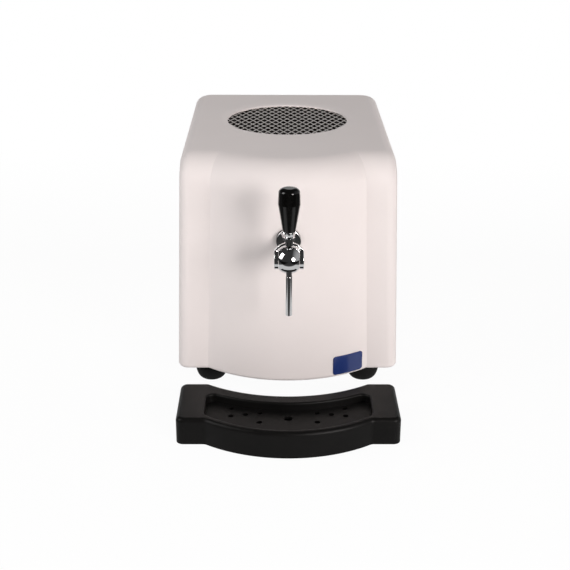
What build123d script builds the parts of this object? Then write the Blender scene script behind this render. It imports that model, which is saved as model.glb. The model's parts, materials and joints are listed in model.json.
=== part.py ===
from build123d import *
import math
import os

os.makedirs("parts", exist_ok=True)

# Driving dimensions in millimetres and degrees. +Z is up and -Y is the front.

# Casing: a moulded shell with flat front shoulders and a bow between them
BODY_WIDTH = 320.0
BODY_DEPTH = 405.0
BODY_HEIGHT = 316.0
GROUND_CLEARANCE = 33.0
SIDE_DRAFT = 1.8
BOW_DRAFT = 2.5
BOW_DEPTH = 41.0
BOW_HALF_WIDTH = 116.0
WALL = 6.0
FRONT_TOP_RADIUS = 42.0
EDGE_RADIUS = 16.0
REAR_CORNER_RADIUS = 28.0
FOOT_EDGE_RADIUS = 5.0
CORNER_POST_RADIUS = 9.0
CORNER_POST_LENGTH = 34.0
CORNER_POST_BITE = 1.0

# Fits and small hardware
FIT = 0.05
SEAT_GAP = 0.3
OVERCUT = 1.0
SCREW_RADIUS = 2.0
SCREW_HEAD_RADIUS = 4.0
SCREW_HEAD_HEIGHT = 2.4
SCREW_HEAD_EDGE = 1.4
SCREW_LENGTH = 10.0

# Base plate and feet
BASE_THICKNESS = 2.0
BASE_RECESS = 2.0
BASE_CLEARANCE = 0.5
BASE_SLOT_LENGTH = 70.0
BASE_SLOT_WIDTH = 7.0
BASE_SLOT_COUNT = 7
BASE_SLOT_PITCH = 16.0
BASE_SLOTS_FROM_SIDE = 92.0
BASE_SLOTS_FROM_CONDENSER = 10.0
FOOT_RADIUS = 24.0
FOOT_WAIST_HEIGHT = 21.0
FOOT_SOLE_RADIUS = 13.0
FOOT_TOP_RADIUS = 20.0
FOOT_FROM_SIDE = 47.0
FOOT_FROM_FRONT = 44.0

# Vent in the top, its mesh and the fan under it
VENT_RADIUS = 92.0
VENT_FROM_SHOULDER = 232.0
VENT_ROLL_WIDTH = 14.0
VENT_ROLL_DEPTH = 3.0
VENT_LAND = 1.0
MESH_MARGIN = 6.0
MESH_RIM = 2.5
MESH_THICKNESS = 1.2
MESH_PITCH_X = 11.7
MESH_PITCH_Y = 22.5
MESH_STRAND = 2.2
SHROUD_BORE = 86.0
SHROUD_WALL = 3.0
SHROUD_LENGTH = 38.0
SHROUD_FLANGE_RADIUS = 112.0
SHROUD_FLANGE = 2.0
SHROUD_SCREW_DEPTH = 4.0
BRACKET_THICKNESS = 4.0
BRACKET_ARM_WIDTH = 16.0
BRACKET_SHAFT_ROOM = 2.0
MOTOR_RADIUS = 34.0
MOTOR_LENGTH = 52.0
MOTOR_EDGE_RADIUS = 7.0
FAN_RADIUS = 83.0
FAN_HUB_RADIUS = 22.0
FAN_HUB_LENGTH = 18.0
FAN_HUB_EDGE_RADIUS = 3.5
FAN_SHAFT_RADIUS = 3.0
FAN_SHAFT_SEAT = 20.0
FAN_BLADES = 5
BLADE_CHORD = 38.0
BLADE_PITCH = 28.0
BLADE_THICKNESS = 2.0
BLADE_ROOT = 2.0
FAN_BELOW_FLANGE = 22.0

# Tap: a ball body on a level shank, with a stirrup lever that pivots on both its flats
TAP_HEIGHT = 245.0
LEVER_REACH = 73.0
GASKET_THICKNESS = 3.0
GASKET_RADIUS = 17.0
COLLAR_RADIUS = 17.0
COLLAR_REACH = 31.0
COLLAR_EDGE_RADIUS = 2.0
NECK_RADIUS = 11.0
SHANK_RADIUS = 8.0
SHANK_TAIL = 34.0
SHANK_BORE = 4.0
SHANK_NUT_ACROSS_FLATS = 27.0
SHANK_NUT_LENGTH = 8.0
BALL_RADIUS = 19.2
BALL_HALF_WIDTH = 13.6
TAP_RADIUS = 13.0
TAP_REAR = 24.0
SOCKET_RADIUS = 9.0
SOCKET_DEPTH = 8.0
ORIFICE_RADIUS = 4.0
CHAMBER_RADIUS = 7.0
CHAMBER_LENGTH = 11.0
CAM_BORE = 10.2
CAP_LENGTH = 5.0
PIN_RADIUS = 2.2
PIN_SEAT = 3.5
HUB_RADIUS = 3.8
HUB_HALF = 6.0
CAM_RADIUS = 5.0
CAM_OFFSET = 4.0
EYE_RADIUS = 13.35
EYE_THICKNESS = 5.4
EYE_EDGE_RADIUS = 1.0
STIRRUP_GAP = 1.4
STIRRUP_THICKNESS = 2.9
STIRRUP_DEPTH = 5.0
STIRRUP_EDGE_RADIUS = 0.9
STIRRUP_BOSS_RADIUS = 5.6
STEM_RADIUS = 4.0
LOCK_NUT_RISE = 26.0
LOCK_NUT_HEIGHT = 4.7
LOCK_NUT_ACROSS_FLATS = 14.0
FERRULE_RADIUS = 5.0
FERRULE_HEIGHT = 7.9
HANDLE_LENGTH = 58.7
HANDLE_FOOT_RADIUS = 8.4
HANDLE_FOOT_EDGE = 1.4
HANDLE_WAIST_RADIUS = 11.0
HANDLE_WAIST_HEIGHT = 16.5
HANDLE_RADIUS = 14.5
HANDLE_SWELL_HEIGHT = 37.5
HANDLE_HEAD_RADIUS = 13.8
HANDLE_CROWN = 5.5
HANDLE_CROWN_FLAT = 6.0
STEM_IN_HANDLE = 30.0
PLUNGER_RADIUS = 2.0
SEAL_RADIUS = 6.0
SEAL_THICKNESS = 3.0
PLUNGER_HEAD_RADIUS = 4.5
PLUNGER_HEAD = 2.0
SPOUT_OFFSET = 12.2
SPOUT_RADIUS = 4.4
SPOUT_BORE = 3.2
SPOUT_ROOT_RADIUS = 4.0
SPOUT_SEAT_BELOW_AXIS = 7.5
SPOUT_END_HEIGHT = 171.5

# Drip tray, which stands free in front of the casing
TRAY_WIDTH = 302.0
TRAY_DEPTH = 105.5
TRAY_HEIGHT = 38.0
TRAY_BOW = 36.5
TRAY_CREASE = 112.0
TRAY_GAP = 53.5
TRAY_WALL = 3.5
TRAY_CORNER_RADIUS = 10.0
TRAY_CREASE_RADIUS = 9.0
TRAY_EDGE_RADIUS = 6.0
RECESS_HALF_WIDTH = 113.0
RECESS_DEPTH = 12.0
RECESS_REAR_MARGIN = 27.0
RECESS_FRONT_MARGIN = 16.0
RECESS_REAR_BOW = 33.5
RECESS_FRONT_BOW = 43.0
RECESS_CORNER_RADIUS = 10.0
RECESS_EDGE_RADIUS = 3.0
DRAIN_RADIUS = 4.0
CENTRE_DRAIN_RADIUS = 6.0
CENTRE_DRAIN_FORWARD = 11.0
DRAIN_INNER_X = 39.0
DRAIN_MIDDLE_X = 58.5
DRAIN_OUTER_X = 78.0
DRAIN_INNER_Y = (4.6, -20.6)
DRAIN_MIDDLE_Y = 0.6
DRAIN_OUTER_Y = (18.2, -3.4)

# Rear panel and what is on it
PANEL_THICKNESS = 1.5
PANEL_FROM_SIDE = 42.0
PANEL_FOOT = 48.0
PANEL_TOP = 302.0
PANEL_LAP = 12.0
PANEL_CORNER_RADIUS = 10.0
LOUVRE_COUNT = 9
LOUVRE_LENGTH = 62.0
LOUVRE_HEIGHT = 5.0
LOUVRE_PITCH = 14.0
LOUVRE_COLUMN_GAP = 10.0
LOUVRES_FROM_CONTROLS = 104.0
CONTROLS_FROM_EDGE = 38.0
KNOB_Z = 252.0
KNOB_RADIUS = 17.0
KNOB_LENGTH = 16.0
KNOB_SKIRT = 5.0
KNOB_EDGE_RADIUS = 2.0
KNOB_GRIP_HALF = 5.1
SPINDLE_RADIUS = 3.0
SPINDLE_END_WALL = 5.0
THERMOSTAT_SIZE = 44.0
THERMOSTAT_DEPTH = 30.0
THERMOSTAT_NECK_RADIUS = 6.0
SWITCH_Z = 196.0
SWITCH_WIDTH = 21.0
SWITCH_HEIGHT = 30.0
SWITCH_DEPTH = 22.0
SWITCH_BEZEL = 2.5
SWITCH_LIP = 2.0
SWITCH_WALL = 2.5
SWITCH_WELL = 12.0
ROCKER_TILT = 9.0
ROCKER_CLEARANCE = 1.2
ROCKER_PROUD = 1.5
ROCKER_SKIRT = 6.0
ROCKER_DISH_RADIUS = 60.0
ROCKER_DISH = 1.5
AXLE_RADIUS = 1.5
AXLE_DEPTH = 4.0
AXLE_END_WALL = 1.0
SOCKET_Z = 110.0
SOCKET_WIDTH = 30.0
SOCKET_HEIGHT = 24.0
SOCKET_BODY_DEPTH = 26.0
SOCKET_FLANGE = 3.0
SOCKET_FLANGE_SIDE = 7.0
SOCKET_FLANGE_RIM = 4.0
SOCKET_SIDE_WALL = 3.0
SOCKET_RIM_WALL = 3.5
SOCKET_WELL = 16.0
BLADE_SPREAD = 7.0
BLADE_DROP = 1.0
EARTH_RISE = 3.0
CONTACT_WIDTH = 2.0
CONTACT_HEIGHT = 4.0
CONTACT_LENGTH = 13.0
INLET_FROM_EDGE = 28.0
INLET_Z = 92.0
INLET_REACH = 28.0
INLET_BARB_RADIUS = 5.0
INLET_BARB_WALL = 2.0
INLET_BODY_RADIUS = 8.0
INLET_HEX_ACROSS_FLATS = 19.2
INLET_HEX_LENGTH = 7.0
INLET_STUB = 10.0

# Cooling set
JACKET_FROM_SIDE = 42.0
JACKET_FROM_SHOULDER = 22.0
JACKET_DEPTH = 150.0
JACKET_HEIGHT = 170.0
JACKET_WALL = 20.0
LINER_WALL = 1.5
LID_THICKNESS = 18.0
LID_PLUG = 10.0
DRINK_COIL_RADIUS = 36.0
DRINK_TUBE_RADIUS = 4.0
DRINK_COIL_TURNS = 7
DRINK_COIL_PITCH = 11.0
DRINK_COIL_LEAD = 30.0
EVAPORATOR_RADIUS = 47.0
EVAPORATOR_TUBE_RADIUS = 3.2
EVAPORATOR_TURNS = 4
EVAPORATOR_PITCH = 15.0
EVAPORATOR_LEAD = 16.0
COIL_BEND_RADIUS = 12.0
RISER_HEIGHT = 8.0
COMPRESSOR_RADIUS = 60.0
COMPRESSOR_HEIGHT = 150.0
COMPRESSOR_DOME_RADIUS = 21.0
COMPRESSOR_FROM_SIDE = 98.0
COMPRESSOR_FROM_SHOULDER = 305.0
COMPRESSOR_FOOT_REACH = 62.0
COMPRESSOR_FOOT_PLATE = 3.0
COMPRESSOR_FOOT_CORNER = 8.0
MOUNT_RADIUS = 9.0
MOUNT_HEIGHT = 14.0
PORT_RADIUS = 4.5
PORT_HEIGHT = 12.0
PORT_OFFSET = 30.0
CONDENSER_FROM_SIDE = 48.0
CONDENSER_FROM_SHOULDER = 184.0
CONDENSER_DEPTH = 40.0
CONDENSER_HEIGHT = 170.0
CONDENSER_FINS = 20
CONDENSER_FIN_THICKNESS = 3.4
CONDENSER_CORE = 14.0
CONDENSER_FOOT_RAIL = 8.0
CONDENSER_HEAD_RAIL = 4.0
CONDENSER_PORT_INSET = 8.0
CONDENSER_OUTLET_RISE = 30.0
DRIER_RADIUS = 10.0
DRIER_LENGTH = 90.0
DRIER_EDGE_RADIUS = 5.0
LINE_RADIUS = 3.2
HOSE_RADIUS = 6.0
LINE_BEND = 13.0
LINE_STRAIGHT = 6.5
HOSE_STRAIGHT = 2.0

# Places worked out from the driving dimensions
HALF_WIDTH = BODY_WIDTH / 2
CASING_FOOT = GROUND_CLEARANCE
CASING_TOP = GROUND_CLEARANCE + BODY_HEIGHT
FRONT_REACH = TRAY_GAP + TRAY_DEPTH + TRAY_BOW
REAR_REACH = BODY_DEPTH + PANEL_THICKNESS + INLET_REACH
SHOULDER_Y = (FRONT_REACH - REAR_REACH) / 2
CASING_BACK = SHOULDER_Y + BODY_DEPTH
BASE_UNDER = CASING_FOOT + BASE_RECESS
BASE_TOP = BASE_UNDER + BASE_THICKNESS
VENT_Y = SHOULDER_Y + VENT_FROM_SHOULDER
CEILING = CASING_TOP - WALL
MESH_TOP = CASING_TOP - VENT_ROLL_DEPTH - VENT_LAND
SHROUD_FLANGE_FOOT = CEILING - SHROUD_FLANGE
SHROUD_FOOT = SHROUD_FLANGE_FOOT - SHROUD_LENGTH
FAN_Z = SHROUD_FLANGE_FOOT - FAN_BELOW_FLANGE
MOTOR_TOP = SHROUD_FOOT - BRACKET_THICKNESS
BOW_RADIUS = (BOW_HALF_WIDTH ** 2 + BOW_DEPTH ** 2) / (2 * BOW_DEPTH)
BOW_AXIS_Y = SHOULDER_Y - BOW_DEPTH + BOW_RADIUS
TAP_WALL_Y = SHOULDER_Y - BOW_DEPTH + (TAP_HEIGHT - CASING_FOOT) * math.tan(math.radians(BOW_DRAFT))
LEVER_Y = TAP_WALL_Y - LEVER_REACH
TAP_REAR_Y = LEVER_Y + TAP_REAR
SPOUT_Y = LEVER_Y - SPOUT_OFFSET
SPOUT_TOP = TAP_HEIGHT - SPOUT_SEAT_BELOW_AXIS
SPOUT_SHOULDER = TAP_HEIGHT - BALL_RADIUS - SEAT_GAP
EYE_INNER = BALL_HALF_WIDTH + SEAT_GAP
EYE_OUTER = EYE_INNER + EYE_THICKNESS
STIRRUP_INNER = BALL_RADIUS + STIRRUP_GAP
STIRRUP_OUTER = STIRRUP_INNER + STIRRUP_THICKNESS
NUT_FOOT = TAP_HEIGHT + LOCK_NUT_RISE
FERRULE_FOOT = NUT_FOOT + LOCK_NUT_HEIGHT
HANDLE_FOOT = FERRULE_FOOT + FERRULE_HEIGHT
PANEL_BACK = CASING_BACK + PANEL_THICKNESS
PANEL_HALF_WIDTH = HALF_WIDTH - PANEL_FROM_SIDE
CONTROL_X = PANEL_HALF_WIDTH - CONTROLS_FROM_EDGE
INLET_X = INLET_FROM_EDGE - PANEL_HALF_WIDTH
LOUVRE_MIDDLE_X = CONTROL_X - LOUVRES_FROM_CONTROLS
FOOT_X = HALF_WIDTH - FOOT_FROM_SIDE
LINE_RUN = LINE_BEND + LINE_STRAIGHT
HOSE_RUN = 2 * LINE_BEND + HOSE_STRAIGHT
TAIL_Y = TAP_WALL_Y + SHANK_TAIL
HOSE_TURN_Y = TAIL_Y + HOSE_RUN


def block(x0, x1, y0, y1, z0, z1):
    return Pos((x0 + x1) / 2, (y0 + y1) / 2, (z0 + z1) / 2) * Box(x1 - x0, y1 - y0, z1 - z0)


def post(radius, x, y, z0, z1):
    return Pos(x, y, (z0 + z1) / 2) * Cylinder(radius, z1 - z0)


def rod_y(radius, x, z, y0, y1):
    return Pos(x, (y0 + y1) / 2, z) * Rot(90, 0, 0) * Cylinder(radius, y1 - y0)


def rod_x(radius, y, z, x0, x1):
    return Pos((x0 + x1) / 2, y, z) * Rot(0, 90, 0) * Cylinder(radius, x1 - x0)


def hexagon(across_flats):
    return RegularPolygon(across_flats / 2, 6, major_radius=False)


def rounded_panel(half_width, z0, z1, radius, y0, y1):
    """A plate with rounded corners that stands in the XZ plane, from y0 to y1."""
    face = RectangleRounded(2 * half_width, z1 - z0, radius)
    return Pos(0, y1, (z0 + z1) / 2) * Rot(90, 0, 0) * extrude(face, y1 - y0)


def casing_form(inset, z_low, foot_radius=0.0):
    """The casing's outer form, or the form that lies inset inside it, from z_low up."""
    z_top = CASING_TOP - inset

    def lean(z, draft):
        return (z - CASING_FOOT) * math.tan(math.radians(draft))

    def trim(solid, origin, outward):
        return split(solid, bisect_by=Plane(origin=origin, z_dir=outward), keep=Keep.BOTTOM)

    across, rise = math.cos(math.radians(SIDE_DRAFT)), math.sin(math.radians(SIDE_DRAFT))
    box = block(-BODY_WIDTH, BODY_WIDTH, SHOULDER_Y - BOW_DEPTH, CASING_BACK - inset, z_low, z_top)
    for side in (-1, 1):
        box = trim(box, (side * (HALF_WIDTH - inset), 0, CASING_FOOT), (side * across, 0, rise))
    box = trim(box, (0, SHOULDER_Y + inset, CASING_FOOT), (0, -across, rise))
    middle_y = (SHOULDER_Y + CASING_BACK) / 2
    upright = [edge for edge in box.edges() if abs(edge.tangent_at(0.5).Z) > 0.9]
    box = fillet([edge for edge in upright if edge.center().Y > middle_y], REAR_CORNER_RADIUS - inset)
    brow = [edge for edge in box.edges().filter_by(Axis.X) if edge.center().Z > z_top - OVERCUT]
    box = fillet(min(brow, key=lambda edge: edge.center().Y), FRONT_TOP_RADIUS - inset)
    rim = []
    for edge in box.edges():
        middle = edge.center()
        way = edge.tangent_at(0.5)
        if edge.bounding_box().max.Z < z_low + OVERCUT:
            continue
        if abs(way.X) > 0.99 and middle.Y < middle_y:
            continue
        if abs(way.Z) > 0.9 and middle.Y > middle_y:
            continue
        rim.append(edge)
    box = fillet(rim, EDGE_RADIUS - inset)

    bow_foot = BOW_RADIUS - lean(z_low, BOW_DRAFT) - inset
    bow_top = BOW_RADIUS - lean(z_top, BOW_DRAFT) - inset
    bow = Pos(0, BOW_AXIS_Y, (z_low + z_top) / 2) * Cone(bow_foot, bow_top, z_top - z_low)
    bow = fillet(bow.edges().group_by(Axis.Z)[-1], FRONT_TOP_RADIUS - inset)
    if foot_radius:
        box = fillet(box.edges().group_by(Axis.Z)[0], foot_radius)
        bow = fillet(bow.edges().group_by(Axis.Z)[0], foot_radius)
    side = BOW_HALF_WIDTH + WALL
    front = SHOULDER_Y - BOW_DEPTH - WALL
    return box + (bow & block(-side, side, front, SHOULDER_Y + 1.5 * FRONT_TOP_RADIUS, z_low, z_top))


OUTER = casing_form(0.0, CASING_FOOT, FOOT_EDGE_RADIUS)
INNER = casing_form(WALL, CASING_FOOT - OVERCUT)

post_inset = WALL + CORNER_POST_RADIUS - CORNER_POST_BITE
post_front_x = HALF_WIDTH - post_inset
post_front_y = SHOULDER_Y + post_inset
post_rear_reach = (REAR_CORNER_RADIUS - post_inset) * math.cos(math.radians(45))
post_rear_x = HALF_WIDTH - REAR_CORNER_RADIUS + post_rear_reach
post_rear_y = CASING_BACK - REAR_CORNER_RADIUS + post_rear_reach
CORNER_POSTS = [(side * post_front_x, post_front_y) for side in (-1, 1)]
CORNER_POSTS += [(side * post_rear_x, post_rear_y) for side in (-1, 1)]
FEET = {
    "front_left": (-FOOT_X, SHOULDER_Y + FOOT_FROM_FRONT),
    "front_right": (FOOT_X, SHOULDER_Y + FOOT_FROM_FRONT),
    "rear_left": (-FOOT_X, CASING_BACK - FOOT_FROM_FRONT),
    "rear_right": (FOOT_X, CASING_BACK - FOOT_FROM_FRONT),
}
SHROUD_SCREW_CIRCLE = (VENT_RADIUS + MESH_MARGIN + SHROUD_FLANGE_RADIUS) / 2
SHROUD_SCREWS = []
for angle in (45, 135, 225, 315):
    way = math.radians(angle)
    SHROUD_SCREWS.append((SHROUD_SCREW_CIRCLE * math.cos(way), VENT_Y + SHROUD_SCREW_CIRCLE * math.sin(way)))
PANEL_SCREWS = [
    (side * (PANEL_HALF_WIDTH - PANEL_LAP / 2), z)
    for side in (-1, 0, 1)
    for z in (PANEL_FOOT + PANEL_LAP / 2, PANEL_TOP - PANEL_LAP / 2)
]


def screw(length):
    """A pan-head screw driven upward, with the underside of its head at the origin."""
    head = post(SCREW_HEAD_RADIUS, 0, 0, -SCREW_HEAD_HEIGHT, 0)
    head = fillet(head.edges().group_by(Axis.Z)[0], SCREW_HEAD_EDGE)
    return head + post(SCREW_RADIUS, 0, 0, 0, length)


def outer_shell():
    shell = OUTER - INNER
    for x, y in CORNER_POSTS:
        shell += post(CORNER_POST_RADIUS, x, y, BASE_TOP, BASE_TOP + CORNER_POST_LENGTH) & OUTER
    centre = VENT_RADIUS + VENT_ROLL_WIDTH
    below = CASING_TOP - 2 * WALL
    above = CASING_TOP + WALL
    lip = CASING_TOP - VENT_ROLL_DEPTH
    roll = EllipticalCenterArc((centre, lip), VENT_ROLL_WIDTH, VENT_ROLL_DEPTH, 90, arc_size=90)
    outline = roll + Polyline((VENT_RADIUS, lip), (VENT_RADIUS, below), (0, below), (0, above),
                              (centre, above), (centre, CASING_TOP))
    shell -= Pos(0, VENT_Y, 0) * revolve(Plane.XZ * make_face(outline), Axis.Z)
    shell -= post(VENT_RADIUS + MESH_MARGIN, 0, VENT_Y, below, MESH_TOP)
    opening = PANEL_HALF_WIDTH - PANEL_LAP
    shell -= rounded_panel(opening, PANEL_FOOT + PANEL_LAP, PANEL_TOP - PANEL_LAP, PANEL_CORNER_RADIUS,
                           CASING_BACK - 2 * WALL, CASING_BACK + WALL)
    drill = SCREW_RADIUS + FIT
    holes = [rod_y(SHANK_RADIUS + SEAT_GAP, 0, TAP_HEIGHT, TAP_WALL_Y - WALL, TAP_WALL_Y + 3 * WALL)]
    holes += [post(drill, x, y, BASE_TOP - OVERCUT, BASE_TOP + SCREW_LENGTH) for x, y in CORNER_POSTS]
    holes += [post(drill, x, y, CEILING - OVERCUT, CEILING + SHROUD_SCREW_DEPTH) for x, y in SHROUD_SCREWS]
    holes += [rod_y(drill, x, z, CASING_BACK - 2 * WALL, CASING_BACK + OVERCUT) for x, z in PANEL_SCREWS]
    for hole in holes:
        shell -= hole
    return shell


def vent_grille():
    """Expanded metal: staggered diamonds in one sheet, cut off along the rim."""
    rim = VENT_RADIUS + MESH_MARGIN - SEAT_GAP
    net = rim - MESH_RIM
    slope = math.atan2(MESH_PITCH_Y, MESH_PITCH_X)
    half_x = MESH_PITCH_X / 2 - MESH_STRAND / 2 / math.sin(slope)
    half_y = MESH_PITCH_Y / 2 - MESH_STRAND / 2 / math.cos(slope)
    rows = int(net / MESH_PITCH_Y * 2) + 1
    columns = int(net / MESH_PITCH_X) + 1
    disc = Face(Wire(Edge.make_circle(net)))
    gaps = []
    for row in range(-rows, rows + 1):
        for column in range(-columns, columns + 1):
            x = (column + 0.5 * (row % 2)) * MESH_PITCH_X
            y = row * MESH_PITCH_Y / 2
            corners = [(x - half_x, y), (x, y - half_y), (x + half_x, y), (x, y + half_y)]
            reach = [math.hypot(*corner) for corner in corners]
            if min(reach) > net - MESH_RIM:
                continue
            diamond = Wire.make_polygon([Vector(*corner) for corner in corners], close=True)
            if max(reach) > net - MESH_RIM / 2:
                kept = (Face(diamond) & disc).faces()
                diamond = kept[0].outer_wire()
                if kept[0].area < MESH_STRAND * half_x:
                    continue
            gaps.append(diamond)
    print("vent mesh gaps:", len(gaps))
    sheet = Face(Wire(Edge.make_circle(rim)), gaps)
    return Pos(0, VENT_Y, MESH_TOP - MESH_THICKNESS) * extrude(sheet, MESH_THICKNESS, dir=(0, 0, 1))


def base_plate():
    sheet = block(-BODY_WIDTH, BODY_WIDTH, SHOULDER_Y - BODY_DEPTH, CASING_BACK, BASE_UNDER, BASE_TOP)
    plate = casing_form(WALL + BASE_CLEARANCE, CASING_FOOT - OVERCUT) & sheet
    for x, y in list(FEET.values()) + CORNER_POSTS:
        plate -= post(SCREW_RADIUS + FIT, x, y, BASE_UNDER - OVERCUT, BASE_TOP + OVERCUT)
    slot = extrude(SlotOverall(BASE_SLOT_LENGTH, BASE_SLOT_WIDTH), BASE_THICKNESS + 2 * OVERCUT)
    for index in range(BASE_SLOT_COUNT):
        y = CONDENSER_REAR + BASE_SLOTS_FROM_CONDENSER + index * BASE_SLOT_PITCH
        plate -= Pos(HALF_WIDTH - BASE_SLOTS_FROM_SIDE, y, BASE_UNDER - OVERCUT) * slot
    return plate


FOOT_SCREW_SEAT = BASE_UNDER - SCREW_LENGTH + SCREW_HEAD_HEIGHT


def foot(x, y):
    """A rubber foot with a swollen waist and a smaller sole, hollow for its screw."""
    bowl = EllipticalCenterArc((FOOT_SOLE_RADIUS, FOOT_WAIST_HEIGHT), FOOT_RADIUS - FOOT_SOLE_RADIUS,
                               FOOT_WAIST_HEIGHT, 270, arc_size=90)
    outline = Polyline((FOOT_RADIUS, FOOT_WAIST_HEIGHT), (FOOT_TOP_RADIUS, BASE_UNDER), (0, BASE_UNDER),
                       (0, 0), (FOOT_SOLE_RADIUS, 0))
    profile = make_face(bowl + outline)
    rubber = revolve(Plane.XZ * profile, Axis.Z)
    rubber -= post(SCREW_HEAD_RADIUS + FIT, 0, 0, -OVERCUT, FOOT_SCREW_SEAT)
    rubber -= post(SCREW_RADIUS + FIT, 0, 0, -OVERCUT, BASE_UNDER + OVERCUT)
    return Pos(x, y, 0) * rubber


def foot_screws():
    driven = Pos(0, 0, FOOT_SCREW_SEAT) * screw(BASE_TOP - FOOT_SCREW_SEAT)
    return Compound(children=[Pos(x, y, 0) * driven for x, y in FEET.values()])


def base_screws():
    return Compound(children=[Pos(x, y, BASE_UNDER) * screw(SCREW_LENGTH) for x, y in CORNER_POSTS])


def fan_shroud():
    rib_out = VENT_RADIUS + MESH_MARGIN - 2 * SEAT_GAP
    shroud = post(SHROUD_FLANGE_RADIUS, 0, VENT_Y, SHROUD_FLANGE_FOOT, CEILING)
    shroud += post(rib_out, 0, VENT_Y, SHROUD_FLANGE_FOOT, MESH_TOP - MESH_THICKNESS)
    shroud += post(SHROUD_BORE + SHROUD_WALL, 0, VENT_Y, SHROUD_FOOT, CEILING)
    shroud -= post(VENT_RADIUS + VENT_LAND, 0, VENT_Y, CEILING, CASING_TOP)
    shroud -= post(SHROUD_BORE, 0, VENT_Y, SHROUD_FOOT - OVERCUT, CASING_TOP)
    for x, y in SHROUD_SCREWS:
        shroud -= post(SCREW_RADIUS + FIT, x, y, SHROUD_FLANGE_FOOT - OVERCUT, CEILING + OVERCUT)
    return shroud


def shroud_screws():
    short = screw(SHROUD_FLANGE + SHROUD_SCREW_DEPTH)
    return Compound(children=[Pos(x, y, SHROUD_FLANGE_FOOT) * short for x, y in SHROUD_SCREWS])


def fan_bracket():
    """A spider under the shroud: a ring, three arms and the motor's seat."""
    reach = SHROUD_BORE + SHROUD_WALL
    spider = post(reach, 0, 0, MOTOR_TOP, SHROUD_FOOT)
    spider -= post(SHROUD_BORE - SHROUD_WALL, 0, 0, MOTOR_TOP, SHROUD_FOOT)
    spider += post(MOTOR_RADIUS, 0, 0, MOTOR_TOP, SHROUD_FOOT)
    half = BRACKET_ARM_WIDTH / 2
    for angle in (90, 210, 330):
        spider += Rot(0, 0, angle) * block(0, SHROUD_BORE, -half, half, MOTOR_TOP, SHROUD_FOOT)
    spider -= post(FAN_SHAFT_RADIUS + BRACKET_SHAFT_ROOM, 0, 0, MOTOR_TOP - OVERCUT, SHROUD_FOOT + OVERCUT)
    return Pos(0, VENT_Y, 0) * spider


def fan_motor():
    can = post(MOTOR_RADIUS, 0, VENT_Y, MOTOR_TOP - MOTOR_LENGTH, MOTOR_TOP)
    can = fillet(can.edges().group_by(Axis.Z)[0], MOTOR_EDGE_RADIUS)
    return can - post(FAN_SHAFT_RADIUS + FIT, 0, VENT_Y, MOTOR_TOP - FAN_SHAFT_SEAT, MOTOR_TOP + OVERCUT)


def fan_blades():
    hub_foot = FAN_Z - FAN_HUB_LENGTH / 2
    hub_top = FAN_Z + FAN_HUB_LENGTH / 2
    fan = post(FAN_HUB_RADIUS, 0, 0, hub_foot, hub_top)
    fan = fillet(fan.edges().group_by(Axis.Z)[-1], FAN_HUB_EDGE_RADIUS)
    fan += post(FAN_SHAFT_RADIUS, 0, 0, MOTOR_TOP - FAN_SHAFT_SEAT + SEAT_GAP, hub_foot + OVERCUT)
    rim = post(FAN_RADIUS, 0, 0, FAN_Z - BLADE_CHORD, FAN_Z + BLADE_CHORD)
    for index in range(FAN_BLADES):
        paddle = Box(FAN_RADIUS, BLADE_CHORD, BLADE_THICKNESS, align=(Align.MIN, Align.CENTER, Align.CENTER))
        paddle = Rot(BLADE_PITCH, 0, 0) * paddle
        paddle = paddle - post(FAN_HUB_RADIUS - BLADE_ROOT, 0, 0, -BLADE_CHORD, BLADE_CHORD)
        fan += (Rot(0, 0, 360 * index / FAN_BLADES) * Pos(0, 0, FAN_Z) * paddle) & rim
    return Pos(0, VENT_Y, 0) * fan


def tap_gasket():
    ring = rod_y(GASKET_RADIUS, 0, TAP_HEIGHT, TAP_WALL_Y - GASKET_THICKNESS, TAP_WALL_Y + WALL)
    ring -= rod_y(SHANK_RADIUS + FIT, 0, TAP_HEIGHT, TAP_WALL_Y - WALL, TAP_WALL_Y + 2 * WALL)
    return ring - OUTER


def inner_gasket():
    back = TAP_WALL_Y + WALL + GASKET_THICKNESS
    ring = rod_y(GASKET_RADIUS, 0, TAP_HEIGHT, TAP_WALL_Y, back) & (Pos(0, 2 * FIT, 0) * INNER)
    return ring - rod_y(SHANK_RADIUS + FIT, 0, TAP_HEIGHT, TAP_WALL_Y - OVERCUT, back + OVERCUT)


def shank():
    """Collar, neck, threaded tail and the valve chamber in one turned piece."""
    collar_back = TAP_WALL_Y - GASKET_THICKNESS
    collar_front = TAP_WALL_Y - COLLAR_REACH
    spigot_front = TAP_REAR_Y - SOCKET_DEPTH
    collar = rod_y(COLLAR_RADIUS, 0, TAP_HEIGHT, collar_front, collar_back)
    collar = fillet(collar.edges().group_by(Axis.Y)[0], COLLAR_EDGE_RADIUS)
    turned = collar + rod_y(NECK_RADIUS, 0, TAP_HEIGHT, TAP_REAR_Y, collar_front)
    turned += rod_y(SOCKET_RADIUS, 0, TAP_HEIGHT, spigot_front, TAP_REAR_Y)
    turned += rod_y(SHANK_RADIUS, 0, TAP_HEIGHT, collar_back, TAIL_Y)
    turned -= rod_y(SHANK_BORE, 0, TAP_HEIGHT, spigot_front - OVERCUT, TAIL_Y + OVERCUT)
    turned -= rod_y(CHAMBER_RADIUS, 0, TAP_HEIGHT, spigot_front - OVERCUT, spigot_front + CHAMBER_LENGTH)
    return turned


def shank_nut():
    front = TAP_WALL_Y + WALL + GASKET_THICKNESS
    back = front + SHANK_NUT_LENGTH
    prism = extrude(hexagon(SHANK_NUT_ACROSS_FLATS), SHANK_NUT_LENGTH)
    prism = Pos(0, back, TAP_HEIGHT) * Rot(90, 0, 0) * prism
    return prism - rod_y(SHANK_RADIUS + FIT, 0, TAP_HEIGHT, front - OVERCUT, back + OVERCUT)


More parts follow.
